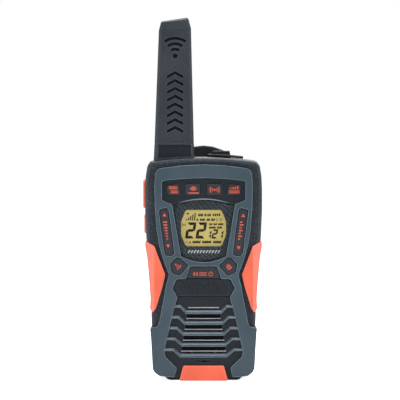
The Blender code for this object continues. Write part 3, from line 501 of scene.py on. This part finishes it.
key_rubber = moulded(
    "key_silicone",
    base=(0.019, 0.022, 0.029),
    speck=(0.045, 0.05, 0.06),
    pit=0.4,
    dent=0.015,
    shine=0.3,
    worn_and_lit=(0.075, 0.085, 0.1),
)
KEYS = ["top_key_1", "top_key_2", "top_key_3", "top_key_4", "call_key", "lock_key", "mode_key"]
finish_with(key_rubber, *KEYS, "volume_rocker", "channel_rocker")
orange_ink = ink("orange_ink", (0.52, 0.085, 0.045))
KEY_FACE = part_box("top_key_1")[0].y / MM


def arc(x, z, inner, outer, start, end, steps=10):
    """A band of a ring, between two angles in degrees."""
    turns = [math.radians(start + (end - start) * step / steps) for step in range(steps + 1)]
    far = [(x + outer * math.cos(turn), z + outer * math.sin(turn)) for turn in turns]
    near = [(x + inner * math.cos(turn), z + inner * math.sin(turn)) for turn in reversed(turns)]
    return far + near


def disc(x, z, radius, sides=12):
    """A filled round dot."""
    turns = [2 * math.pi * side / sides for side in range(sides)]
    return [(x + radius * math.cos(turn), z + radius * math.sin(turn)) for turn in turns]


def turned(outlines, x, z, degrees):
    """Outlines turned about a place."""
    cosine, sine = math.cos(math.radians(degrees)), math.sin(math.radians(degrees))
    found = []
    for outline in outlines:
        reaches = [(a - x, b - z) for a, b in outline]
        found.append([(x + a * cosine - b * sine, z + a * sine + b * cosine) for a, b in reaches])
    return found


def ladder(x_low, x_high, z_low, z_high, count, thick):
    """Level bars stacked between two heights."""
    pitch = (z_high - z_low - thick) / max(count - 1, 1)
    levels = [z_low + step * pitch for step in range(count)]
    return [oblong(x_low, z, x_high, z + thick) for z in levels]


menu_sign = ladder(-18.4, -13.9, 101.6, 103.0, 2, 0.5) + ladder(-17.4, -13.5, 99.5, 100.9, 2, 0.5)
watch_sign = [arc(-5.4, 101.5, 1.0, 1.55, 25, 155), arc(-5.4, 103.3, 1.9, 2.4, 215, 325)]
watch_sign += [disc(-5.4, 101.9, 0.55), *ladder(-8.1, -2.4, 99.3, 99.9, 1, 0.6)]
scan_sign = [disc(5.8, 101.3, 0.55)]
for side in (0, 180):
    scan_sign += [arc(5.8, 101.3, reach, reach + 0.5, side - 38, side + 38, 6) for reach in (1.1, 2.2)]
level_sign = ladder(13.4, 19.0, 99.5, 100.9, 2, 0.5)
for step in range(4):
    x = 13.9 + step * 1.25
    level_sign.append(oblong(x, 101.6, x + 0.7, 102.3 + step * 0.32))
call_sign = [disc(-15.1, 60.7, 0.5)]
call_sign += [arc(-15.1, 60.7, reach, reach + 0.45, -38, 38, 6) for reach in (1.2, 2.3)]
lock_sign = [arc(13.5, 61.0, 0.5, 0.95, 0, 180), disc(13.5, 60.1, 0.3)]
lock_sign += [oblong(12.4, 59.1, 14.6, 59.6), oblong(12.4, 60.6, 14.6, 61.1)]
lock_sign += [oblong(12.4, 59.6, 12.9, 60.6), oblong(14.1, 59.6, 14.6, 60.6)]
power_sign = [arc(3.8, 56.7, 0.85, 1.2, 118, 422, 18), oblong(3.63, 56.8, 3.97, 58.1)]
mode_sign = [oblong(-5.4 + step * 1.45, 55.8, -4.6 + step * 1.45, 57.6) for step in range(2)]
mode_sign += ladder(-2.4, 1.6, 55.8, 57.6, 3, 0.36)
signs = {
    "top_key_1": menu_sign,
    "top_key_2": watch_sign,
    "top_key_3": scan_sign,
    "top_key_4": level_sign,
    "call_key": turned(call_sign, -13.6, 60.6, -40),
    "lock_key": turned(lock_sign, 13.5, 60.3, 38),
    "mode_key": mode_sign + power_sign,
}
for key_name, sign in signs.items():
    printed(key_name + "_sign", sign, KEY_FACE, orange_ink, key_name)


def arrow(x, z, size, up):
    """A triangle that points up or down."""
    tip = size if up else -size
    return [(x - size, z - tip * 0.8), (x + size, z - tip * 0.8), (x, z + tip)]


# The rockers lean outward at the top, and so do the bars between their arrows.
LEAN = 0.135
BARS_LOW, BAR_PITCH, BAR_THICK = 74.8, 1.5, 0.75
volume_sign = [arrow(-20.7, 88.0, 1.05, True), arrow(-18.8, 71.5, 1.05, False)]
channel_sign = [arrow(20.9, 87.7, 1.05, True), arrow(18.6, 70.6, 1.05, False)]
for step in range(7):
    z = BARS_LOW + step * BAR_PITCH
    centre = 19.15 + (z - BARS_LOW) * LEAN
    reach = 0.35 + 0.13 * step
    length = 1.9 if step % 2 else 1.1
    volume_sign.append(oblong(-centre - reach, z, -centre + reach, z + BAR_THICK))
    channel_sign.append(oblong(centre - 1.0, z, centre - 1.0 + length, z + BAR_THICK))
for rocker, sign in (("volume_rocker", volume_sign), ("channel_rocker", channel_sign)):
    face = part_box(rocker)[0].y / MM
    printed(rocker + "_sign", sign, face, orange_ink, rocker)

# ------------------------------------------------------------------------------------------- badge
# A raised black plate under the keys, which names nothing: a row of polished bars, like a sound
# wave, stands a little proud of its grained face.

WAVE_MIDDLE = 49.2
WAVE_STEP = 0.92
WAVE_HALF_BAR = 0.26
WAVE_LEAN = 0.15
WAVE_RISE = 0.4
WAVE_HEIGHTS = [0.5, 0.9, 1.7, 2.6, 1.5, 0.8, 1.9, 2.9, 2.1, 1.1, 2.3, 1.6, 0.8, 0.5]
finish_with(black, "badge_plate")
polished = moulded(
    "polished_abs",
    base=(0.0045, 0.006, 0.0085),
    speck=(0.011, 0.013, 0.016),
    pit=0.8,
    amount=0.2,
    gloss=0.22,
    dent=0.002,
    shine=0.5,
)
wave = []
for step in range(-len(WAVE_HEIGHTS) + 1, len(WAVE_HEIGHTS)):
    left, right = step * WAVE_STEP - WAVE_HALF_BAR, step * WAVE_STEP + WAVE_HALF_BAR
    half = WAVE_HEIGHTS[len(WAVE_HEIGHTS) - 1 - abs(step)]
    wave.append(oblong(left, WAVE_MIDDLE - half, right, WAVE_MIDDLE + half, WAVE_LEAN))
BADGE_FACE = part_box("badge_plate")[0].y / MM
printed("badge_wave", wave, BADGE_FACE, polished, "housing", WAVE_RISE)

# ----------------------------------------------------------------------------------------- display
# A yellow liquid-crystal panel with its segments in black, over a white diffuser. The panel glows
# faintly: painted light that brightens it, since no lamp behind it is lit. A woven-look surround
# frames it behind a clear acrylic window bonded into the bezel.

THREAD = 0.7
SEGMENT_SLANT = math.tan(math.radians(9))
SEGMENT_RISE = 0.05
lcd_paint = bpy.data.materials.new("lcd_glass_yellow")
lcd_paint.use_nodes = True
tree = lcd_paint.node_tree
shader = tree.nodes["Principled BSDF"]
place = put(tree, "ShaderNodeTexCoord", {}).outputs["Object"]
height = put(tree, "ShaderNodeSeparateXYZ", {0: place}).outputs["Z"]
film = blended(tree, spread(tree, height, 0.070, 0.092), (0.52, 0.41, 0.125, 1), (0.57, 0.46, 0.15, 1))
mottle = spread(tree, noise(tree, place, 900.0), 0.4, 0.8, 0.0, 0.25)
mottled = blended(tree, mottle, film, (0.42, 0.33, 0.1, 1))
tree.links.new(mottled, shader.inputs["Base Color"])
# The faint glow in the panel's own colour is painted light.
tree.links.new(mottled, shader.inputs["Emission Color"])
shader.inputs["Emission Strength"].default_value = 0.12
shader.inputs["Roughness"].default_value = 0.4
shader.inputs["Specular IOR Level"].default_value = 0.2
finish_with(lcd_paint, "lcd_panel")
diffuser = moulded("white_diffuser", (0.78, 0.78, 0.74), (0.86, 0.86, 0.84), pit=0.8)
finish_with(diffuser, "lcd_backlight")

# A two-over-two twill: each thread crosses two, and the crossings step sideways row by row.
weave = bpy.data.materials.new("twill_print")
weave.use_nodes = True
tree = weave.node_tree
shader = tree.nodes["Principled BSDF"]
place = put(tree, "ShaderNodeTexCoord", {}).outputs["Object"]
per_thread = {0: place, "Scale": 1 / (THREAD * MM)}
threads = put(tree, "ShaderNodeVectorMath", per_thread, operation="SCALE").outputs[0]
axes = put(tree, "ShaderNodeSeparateXYZ", {0: threads}).outputs
column, row = reckon(tree, "FLOOR", axes["X"]), reckon(tree, "FLOOR", axes["Z"])
stepping = reckon(tree, "FLOORED_MODULO", reckon(tree, "ADD", column, row), 4.0)
warp_on_top = reckon(tree, "LESS_THAN", stepping, 2.0)
rounds = []
for axis in ("X", "Z"):
    across = reckon(tree, "SUBTRACT", reckon(tree, "FRACT", axes[axis]), 0.5)
    rounds.append(spread(tree, reckon(tree, "ABSOLUTE", across), 0.5, 0.05))
crest = put(tree, "ShaderNodeMix", {0: warp_on_top, 2: rounds[1], 3: rounds[0]}).outputs[0]
fibre = spread(tree, noise(tree, place, 2600.0, 3.0), 0.35, 0.7, 0.3, 1.0)
upright = spread(tree, warp_on_top, 0, 1, 0.18, 1.0)
lit = reckon(tree, "MULTIPLY", reckon(tree, "MULTIPLY", crest, fibre), upright)
cloth = blended(tree, lit, (0.0025, 0.005, 0.009, 1), (0.075, 0.108, 0.13, 1))
tree.links.new(cloth, shader.inputs["Base Color"])
bump = put(tree, "ShaderNodeBump", {"Strength": 0.6, "Distance": 0.00005, "Height": crest})
tree.links.new(bump.outputs["Normal"], shader.inputs["Normal"])
shader.inputs["Roughness"].default_value = 0.45
finish_with(weave, "display_surround")

# Clear acrylic with a trace of smoke in it, faintly smeared by fingers.
acrylic = bpy.data.materials.new("clear_acrylic")
acrylic.use_nodes = True
tree = acrylic.node_tree
shader = tree.nodes["Principled BSDF"]
shader.inputs["Base Color"].default_value = (0.02, 0.022, 0.026, 1)
shader.inputs["Alpha"].default_value = 0.06
shader.inputs["Specular IOR Level"].default_value = 0.4
place = put(tree, "ShaderNodeTexCoord", {}).outputs["Object"]
smears = noise(tree, place, 110.0)
tree.links.new(spread(tree, smears, 0.35, 0.7, 0.05, 0.14), shader.inputs["Roughness"])
finish_with(acrylic, "display_lens")

# The corners of each segment of a numeral of width w and height h, its strokes t thick.
SEGMENTS = {
    "a": lambda w, h, t: [(0.04, h), (w - 0.04, h), (w - t, h - t), (t, h - t)],
    "b": lambda w, h, t: [
        (w, h - 0.05),
        (w, h / 2 + 0.04),
        (w - t, h / 2 + t / 2),
        (w - t, h - t - 0.06),
    ],
    "c": lambda w, h, t: [(w, h / 2 - 0.04), (w, 0.05), (w - t, t + 0.06), (w - t, h / 2 - t / 2)],
    "d": lambda w, h, t: [(0.04, 0), (w - 0.04, 0), (w - t, t), (t, t)],
    "e": lambda w, h, t: [(0, h / 2 - 0.04), (0, 0.05), (t, t + 0.06), (t, h / 2 - t / 2)],
    "g": lambda w, h, t: [
        (0.1, h / 2),
        (t + 0.02, h / 2 + t / 2),
        (w - t - 0.06, h / 2 + t / 2),
        (w - 0.1, h / 2),
        (w - t - 0.06, h / 2 - t / 2),
        (t + 0.06, h / 2 - t / 2),
    ],
}


def digit(lit_segments, x, z, width, height, thick):
    """A numeral of the display: the named segments, slanted, from its lower left corner."""
    found = []
    for name in lit_segments:
        outline = SEGMENTS[name](width, height, thick)
        found.append([(x + a + b * SEGMENT_SLANT, z + b) for a, b in outline])
    return found


CAPTION_PITCH = 0.62
CAPTION_DIPS = (0.0, 0.2, 0.0, 0.1)


def caption(x_low, x_high, z_low, z_high):
    """A row of small slanted blocks, as unreadable as a word seen from afar."""
    found = []
    count = max(1, round((x_high - x_low) / CAPTION_PITCH))
    pitch = (x_high - x_low) / count
    for step in range(count):
        x = x_low + step * pitch
        dip = (z_high - z_low) * CAPTION_DIPS[step % len(CAPTION_DIPS)]
        found.append(oblong(x, z_low, x + pitch * 0.9, z_high - dip, 0.2))
    return found


lcd_marks = digit("abged", -9.9, 75.3, 4.8, 8.6, 1.45) + digit("abged", -4.3, 75.3, 4.8, 8.6, 1.45)
lcd_marks += digit("bc", 1.9, 75.4, 1.8, 4.3, 0.9) + digit("abged", 4.1, 75.3, 2.9, 4.9, 0.9)
lcd_marks += digit("bc", 8.2, 75.4, 1.8, 4.2, 0.9)
for step, x in enumerate((-9.1, -8.1, -7.0, -5.9, -4.8)):
    lcd_marks.append(oblong(x - 0.3, 84.9, x + 0.32, 85.7 + 0.8 * step, 0.1))
lcd_marks.append([(-9.2, 88.9), (-7.6, 88.9), (-8.3, 87.7)])
for low_x, high_x in ((-3.0, -0.3), (0.3, 1.5), (1.9, 3.8)):
    lcd_marks += caption(low_x, high_x, 87.1, 88.5)
for step in range(4):
    lcd_marks.append(oblong(4.9 + step * 1.05, 87.2, 5.65 + step * 1.05, 88.5))
for low_x, high_x in ((-3.9, -2.8), (-2.0, 0.7), (1.5, 3.3), (3.9, 5.9)):
    lcd_marks += caption(low_x, high_x, 84.7, 86.0)
lcd_marks += [arc(7.1, 85.3, 0.35, 0.65, 0, 300), arc(9.2, 85.3, 0.4, 0.72, 0, 300)]
lcd_marks.append(disc(-10.4, 82.6, 0.4))
lcd_marks += [arc(-10.4, 82.6, 0.9, 1.15, side - 50, side + 50, 5) for side in (180, 0)]
for low_x, high_x in ((2.9, 4.5), (5.1, 7.0), (7.6, 10.4)):
    lcd_marks += caption(low_x, high_x, 82.4, 83.5)
for low_x, high_x in ((2.8, 6.4), (7.1, 9.7)):
    lcd_marks += caption(low_x, high_x, 80.6, 81.7)
lcd_marks += [arc(-8.9, 73.5, 0.35, 0.55, 30, 330), [(-7.9, 72.8), (-6.7, 72.8), (-7.0, 74.3)]]
for low_x, high_x in ((-6.0, -1.7), (-0.8, 3.9), (5.0, 9.2)):
    lcd_marks += caption(low_x, high_x, 72.8, 74.2)
LCD_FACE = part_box("lcd_panel")[0].y / MM
lcd_ink = ink("lcd_black", (0.003, 0.003, 0.0025), 0.6)
printed("lcd_segments", lcd_marks, LCD_FACE, lcd_ink, "housing", SEGMENT_RISE)

# White waves printed on the surround under the display.
white_ink = ink("white_ink", (0.62, 0.66, 0.68))
RIPPLE = [(0, 67.6), (0.5, 67.6), (1.0, 68.6), (1.4, 68.6), (1.4, 69.1), (0.75, 69.1)]
RIPPLE_START, RIPPLE_PITCH, RIPPLES = -8.4, 1.58, 11
waves = []
for step in range(RIPPLES):
    start = RIPPLE_START + step * RIPPLE_PITCH
    waves.append([(start + x, z) for x, z in RIPPLE])
SURROUND_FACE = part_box("display_surround")[0].y / MM
printed("surround_waves", waves, SURROUND_FACE, white_ink, "housing")

# ------------------------------------------------------------------------------------------ grille
# A black panel behind the louvres, cut deep between them and slotted for the loudspeaker, with a
# second slot for the microphone. The cuts' faces are painted near black: painted shade in the
# recesses. A half-round rib runs along each slot, painted pale grey: a painted highlight on its lip.

LOUVRES = 5
LOUVRE_PITCH = 5.76
FIRST_RECESS = 36.2
RECESS_HEIGHT, RECESS_DEPTH, RECESS_TAPER = 2.9, 1.1, 0.6
FIRST_RIB = 38.75
RIB_HEIGHT = 0.62
RIB_SINK = 0.15
# The recess faces are painted near black: painted shade in the recesses between the louvres.
recess_shade_paint = moulded(
    "recess_painted_shade",
    base=(0.002, 0.003, 0.005),
    speck=(0.008, 0.01, 0.013),
    pit=0.4,
    gloss=0.7,
    dent=0.01,
    shine=0.1,
)
# The ribs' pale grey is a painted highlight along each slot's lip.
rib_highlight_paint = moulded(
    "rib_painted_highlight",
    base=(0.3, 0.31, 0.32),
    speck=(0.4, 0.41, 0.42),
    gloss=0.3,
    dent=0.01,
    shine=0.5,
    worn_and_lit=(0.55, 0.56, 0.57),
    wear_and_highlight=0.6,
)
finish_with(black, "grille_panel")
GRILLE_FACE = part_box("grille_panel")[0].y / MM
recesses = []
for louvre in range(LOUVRES - 1):
    top = FIRST_RECESS - LOUVRE_PITCH * louvre
    bottom = top - RECESS_HEIGHT
    half = 9.3 + 0.85 * louvre
    foot = half - RECESS_TAPER
    recesses.append([(-half, top), (half, top), (foot, bottom), (-foot, bottom)])
cutter = prism("grille_recesses", recesses, GRILLE_FACE - 1, GRILLE_FACE + RECESS_DEPTH)
carved("grille_face", "grille_panel", cutter, "housing", recess_shade_paint)


def rod(name, ends, radius, paint, body, sides=10):
    """A straight round rod between two places, with rounded ends."""
    first, last = (Vector(end) for end in ends)
    along = (last - first).normalized()
    turn = along.to_track_quat("Z", "Y").to_matrix().to_4x4()
    mesh = bpy.data.meshes.new(name)
    work = bmesh.new()
    rings = []
    inset = along * radius * 0.5
    for place, size in ((first, 0.5), (first + inset, 1), (last - inset, 1), (last, 0.5)):
        ring = []
        for side in range(sides):
            angle = 2 * math.pi * side / sides
            offset = turn @ Vector((math.cos(angle), math.sin(angle), 0)) * radius * size
            ring.append(work.verts.new((place + offset) * MM))
        rings.append(ring)
    for lower, upper in zip(rings, rings[1:]):
        for side in range(sides):
            work.faces.new((lower[side - 1], lower[side], upper[side], upper[side - 1]))
    work.faces.new(rings[0])
    work.faces.new(rings[-1])
    bmesh.ops.recalc_face_normals(work, faces=work.faces)
    for skin in work.faces:
        skin.smooth = len(skin.verts) == 4
    work.to_mesh(mesh)
    work.free()
    mesh.materials.append(paint)
    made = bpy.data.objects.new(name, mesh)
    scene.collection.objects.link(made)
    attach(made, body)
    return made


for louvre in range(LOUVRES):
    z = FIRST_RIB - LOUVRE_PITCH * louvre
    half = 8.2 + 0.95 * louvre
    ends = [(side, GRILLE_FACE - RIB_SINK, z) for side in (-half, half)]
    rod(f"grille_rib_{louvre + 1}", ends, RIB_HEIGHT / 2, rib_highlight_paint, "housing")

# --------------------------------------------------------------------------- loudspeaker and inside
# A paper cone in a steel basket behind a waterproof membrane, a capsule microphone, the key mat,
# and the main board under its screening can. Little of this shows until the casing is opened.

paper = moulded("cone_paper", (0.03, 0.03, 0.032), (0.07, 0.07, 0.07), amount=0.5, gloss=0.85, dent=0.06)
membrane = moulded(
    "membrane_film",
    base=(0.003, 0.0035, 0.004),
    speck=(0.01, 0.01, 0.011),
    pit=0.35,
    amount=0.4,
    gloss=0.75,
    shine=0.15,
)
finish_with(paper, "speaker_cone")
finish_with(membrane, "speaker_membrane", "mic_capsule")
finish_with(steel, "speaker_basket", "speaker_magnet", "rf_shield")
finish_with(seal_rubber, "keypad_mat")

board = bpy.data.materials.new("circuit_board")
board.use_nodes = True
tree = board.node_tree
shader = tree.nodes["Principled BSDF"]
place = put(tree, "ShaderNodeTexCoord", {}).outputs["Object"]
layout = {"Vector": place, "Scale": 140.0, "Mortar Size": 0.035}
tracks = put(tree, "ShaderNodeTexBrick", layout, offset=0.3)
tracks.inputs["Color1"].default_value = (0.008, 0.075, 0.025, 1)
tracks.inputs["Color2"].default_value = (0.01, 0.09, 0.03, 1)
tracks.inputs["Mortar"].default_value = (0.03, 0.17, 0.06, 1)
tree.links.new(tracks.outputs["Color"], shader.inputs["Base Color"])
tree.links.new(spread(tree, noise(tree, place, 400.0), 0.3, 0.7, 0.3, 0.5), shader.inputs["Roughness"])
finish_with(board, "main_board")

# ----------------------------------------------------------------------------------------- antenna
# A tapered blade of charcoal elastomer over a coil on a plastic core, standing in a moulded collar.
# Marks are sunk into its front: rings of a spreading wave above, and a row of chevrons below.

ENGRAVE_DEPTH = 0.5
CUT_CLEARANCE = 2.0
BLADE_FOOT, BLADE_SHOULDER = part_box("antenna_sleeve")[0].z / MM, 185.6
BLADE_FOOT_FACE, BLADE_SHOULDER_FACE = -6.6, -3.6


def blade_face(z):
    """Depth of the blade's front at a height."""
    slope = (BLADE_SHOULDER_FACE - BLADE_FOOT_FACE) / (BLADE_SHOULDER - BLADE_FOOT)
    return BLADE_FOOT_FACE + slope * (z - BLADE_FOOT)


blade_rubber = moulded(
    "blade_elastomer",
    base=(0.0175, 0.0235, 0.03),
    speck=(0.055, 0.065, 0.075),
    pit=0.6,
    amount=0.4,
    dent=0.045,
    worn_and_lit=(0.12, 0.14, 0.16),
    wear_and_highlight=0.7,
)
# The sunk marks' faces are painted much darker than the blade: painted shade in the engravings.
engraved_shade_paint = moulded(
    "engraved_painted_shade",
    base=(0.0035, 0.006, 0.009),
    speck=(0.01, 0.014, 0.018),
    gloss=0.75,
    dent=0.01,
    shine=0.12,
)
finish_with(blade_rubber, "antenna_sleeve", "antenna_collar")
MARK_X = -15.1
CHEVRON_LOW, CHEVRON_PITCH, CHEVRON_COUNT = 130.9, 4.15, 8
CHEVRON_HALF, CHEVRON_RISE, CHEVRON_THICK = 4.4, 2.3, 1.75
marks = []
for step in range(CHEVRON_COUNT):
    z = CHEVRON_LOW + CHEVRON_PITCH * step
    wings = [(CHEVRON_HALF, z), (0, z + CHEVRON_RISE), (-CHEVRON_HALF, z)]
    upper = [(MARK_X + x, height + CHEVRON_THICK) for x, height in wings]
    marks.append([(MARK_X + x, height) for x, height in wings[::-1]] + upper)
RING_CENTRE, RING_THICK = 171.8, 1.6
marks.append(disc(MARK_X, RING_CENTRE + 0.2, 1.4, 16))
for reach in (3.0, 5.9, 8.8):
    marks.append(arc(MARK_X, RING_CENTRE, reach, reach + RING_THICK, 54, 126, 12))
cutter = prism("blade_marks", marks, -CUT_CLEARANCE, ENGRAVE_DEPTH, blade_face)
carved("antenna_blade", "antenna_sleeve", cutter, "housing", engraved_shade_paint)

COLLAR_INSET = 0.45
COLLAR_FOOT, COLLAR_HEIGHT = 113, 12.7
COLLAR_FOOT_FACE, COLLAR_RAKE = -8.4, 1.7


def collar_face(z):
    """Depth of the collar's front at a height."""
    return COLLAR_FOOT_FACE + COLLAR_RAKE * (z - COLLAR_FOOT) / COLLAR_HEIGHT


inset = [(-24.2, 117.6), (-6.4, 118.6), (-6.7, 125.0), (-24.0, 125.0)]
cutter = prism("collar_inset", [inset], -CUT_CLEARANCE, COLLAR_INSET, collar_face)
carved("antenna_base", "antenna_collar", cutter, "housing", black)

core_plastic = moulded("core_plastic", (0.7, 0.7, 0.66), (0.8, 0.8, 0.78), pit=0.6)
brass = metal("coil_brass", (0.66, 0.46, 0.17), 0.3)
finish_with(core_plastic, "antenna_core")
finish_with(brass, "antenna_coil")

# ---------------------------------------------------------------------------------- jack and cover
# A moulded socket block for the headset and the charging plug, closed by a soft black rubber flap
# with a lifting tab. The flap's right end is its own hinge.

soft_rubber = moulded(
    "flap_rubber", (0.012, 0.012, 0.013), (0.035, 0.035, 0.037), amount=0.35, gloss=0.65, shine=0.3
)
finish_with(black, "jack_socket")
finish_with(soft_rubber, "jack_cover")

# ----------------------------------------------------------------------------------------- battery
# Three cells in a sealed bay behind a door, which hinges at its upper edge and locks with a coin.
# Plated contacts and springs join the cells, the middle one standing upside down.

BARE_END = 0.4
BAND_LENGTH = 12
NUB_HEIGHT = 1.2
cell_wrap, given, result = new_group(
    "cell_wrap",
    {"Low": 0.0137, "High": 0.0627, "Sleeve": (0.02, 0.07, 0.2, 1), "Band": (0.6, 0.42, 0.1, 1)},
    ["Color", "Metal"],
)
place = put(cell_wrap, "ShaderNodeTexCoord", {}).outputs["Object"]
height = put(cell_wrap, "ShaderNodeSeparateXYZ", {0: place}).outputs["Z"]
wrap_low = reckon(cell_wrap, "ADD", given["Low"], BARE_END * MM)
wrap_high = reckon(cell_wrap, "SUBTRACT", given["High"], BARE_END * MM)
bare_low = reckon(cell_wrap, "LESS_THAN", height, wrap_low)
bare_high = reckon(cell_wrap, "GREATER_THAN", height, wrap_high)
bare = reckon(cell_wrap, "MAXIMUM", bare_low, bare_high)
below_top = reckon(cell_wrap, "SUBTRACT", given["High"], height)
in_band = reckon(cell_wrap, "LESS_THAN", below_top, BAND_LENGTH * MM)
sleeve = blended(cell_wrap, in_band, given["Sleeve"], given["Band"])
smudge = spread(cell_wrap, noise(cell_wrap, place, 300.0), 0.3, 0.7, 0.85, 1.1)
smudged = {0: sleeve, "Scale": smudge}
tinted = put(cell_wrap, "ShaderNodeVectorMath", smudged, operation="SCALE").outputs[0]
cell_wrap.links.new(blended(cell_wrap, bare, tinted, (0.6, 0.6, 0.6, 1)), result["Color"])
cell_wrap.links.new(bare, result["Metal"])
for number in (1, 2, 3):
    low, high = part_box(f"battery_cell_{number}")
    nub_below, nub_above = (NUB_HEIGHT * MM, 0) if number == 2 else (0, NUB_HEIGHT * MM)
    wrapped = bpy.data.materials.new(f"cell_{number}_wrap")
    wrapped.use_nodes = True
    tree = wrapped.node_tree
    shader = tree.nodes["Principled BSDF"]
    label = tree.nodes.new("ShaderNodeGroup")
    label.node_tree = cell_wrap
    label.inputs["Low"].default_value = low.z + nub_below
    label.inputs["High"].default_value = high.z - nub_above
    tree.links.new(label.outputs["Color"], shader.inputs["Base Color"])
    tree.links.new(label.outputs["Metal"], shader.inputs["Metallic"])
    shader.inputs["Roughness"].default_value = 0.3
    finish_with(wrapped, f"battery_cell_{number}")
finish_with(steel, "contact_plate_lower", "contact_plate_upper")
finish_with(steel, "contact_spring_1", "contact_spring_2", "contact_spring_3")
finish_with(seal_rubber, "door_seal")

# Six grooves across the door, the middle ones longest, give the thumb a hold.
DOOR_FACE = 17.4
DOOR_GROOVES, FIRST_GROOVE, DOOR_GROOVE_PITCH = 6, 50.0, 1.9
DOOR_GROOVE_HEIGHT, DOOR_GROOVE_DEPTH = 0.8, 0.4
finish_with(charcoal, "battery_door")
door_grooves = []
for step in range(DOOR_GROOVES):
    z = FIRST_GROOVE + step * DOOR_GROOVE_PITCH
    half = 13.5 - abs(step - 2.5) * 1.2
    door_grooves.append(oblong(-half, z, half, z + DOOR_GROOVE_HEIGHT))
cutter = prism("door_grooves", door_grooves, DOOR_FACE - DOOR_GROOVE_DEPTH, DOOR_FACE + CUT_CLEARANCE)
carved("battery_door_skin", "battery_door", cutter, "battery_door")
finish_with(black, "door_lock")

# White marks round the lock: a large dot for shut, a small one for open, and an arc between them.
lock_dots = [disc(0, 21.6, 0.6), arc(0, 15, 6.2, 6.6, 10, 60, 8), disc(6.6, 15.0, 0.45)]
lock_marks = prism("lock_marks", lock_dots, DOOR_FACE, DOOR_FACE + INK_DEPTH)
lock_marks.data.materials.append(white_ink)
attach(lock_marks, "battery_door")

# --------------------------------------------------------------------------------------- belt clip
# A black nylon clip on a steel pin, sprung shut, in a carrier that slides up off its rail on the
# back. Grooves across its thumb end keep it from slipping.

nylon = moulded(
    "black_nylon",
    base=(0.011, 0.012, 0.014),
    speck=(0.04, 0.044, 0.05),
    amount=0.45,
    dent=0.04,
    worn_and_lit=(0.06, 0.065, 0.07),
)
finish_with(nylon, "belt_clip", "clip_carrier")
finish_with(steel, "clip_pin", "clip_spring")
CLIP_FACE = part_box("belt_clip")[1].y / MM
CLIP_GROOVE_DEPTH = 0.5
clip_grooves = [oblong(-9.5, level, 9.5, level + 0.9) for level in (112.5, 114.5, 116.5, 118.5)]
clip_grooves.append([(-5.2, 80), (5.2, 80), (6.6, 104), (-6.6, 104)])
cutter = prism("clip_grooves", clip_grooves, CLIP_FACE - CLIP_GROOVE_DEPTH, CLIP_FACE + CUT_CLEARANCE)
carved("belt_clip_blade", "belt_clip", cutter, "belt_clip")

# ------------------------------------------------------------------------------------------ finish
# The size of the whole.

low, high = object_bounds()
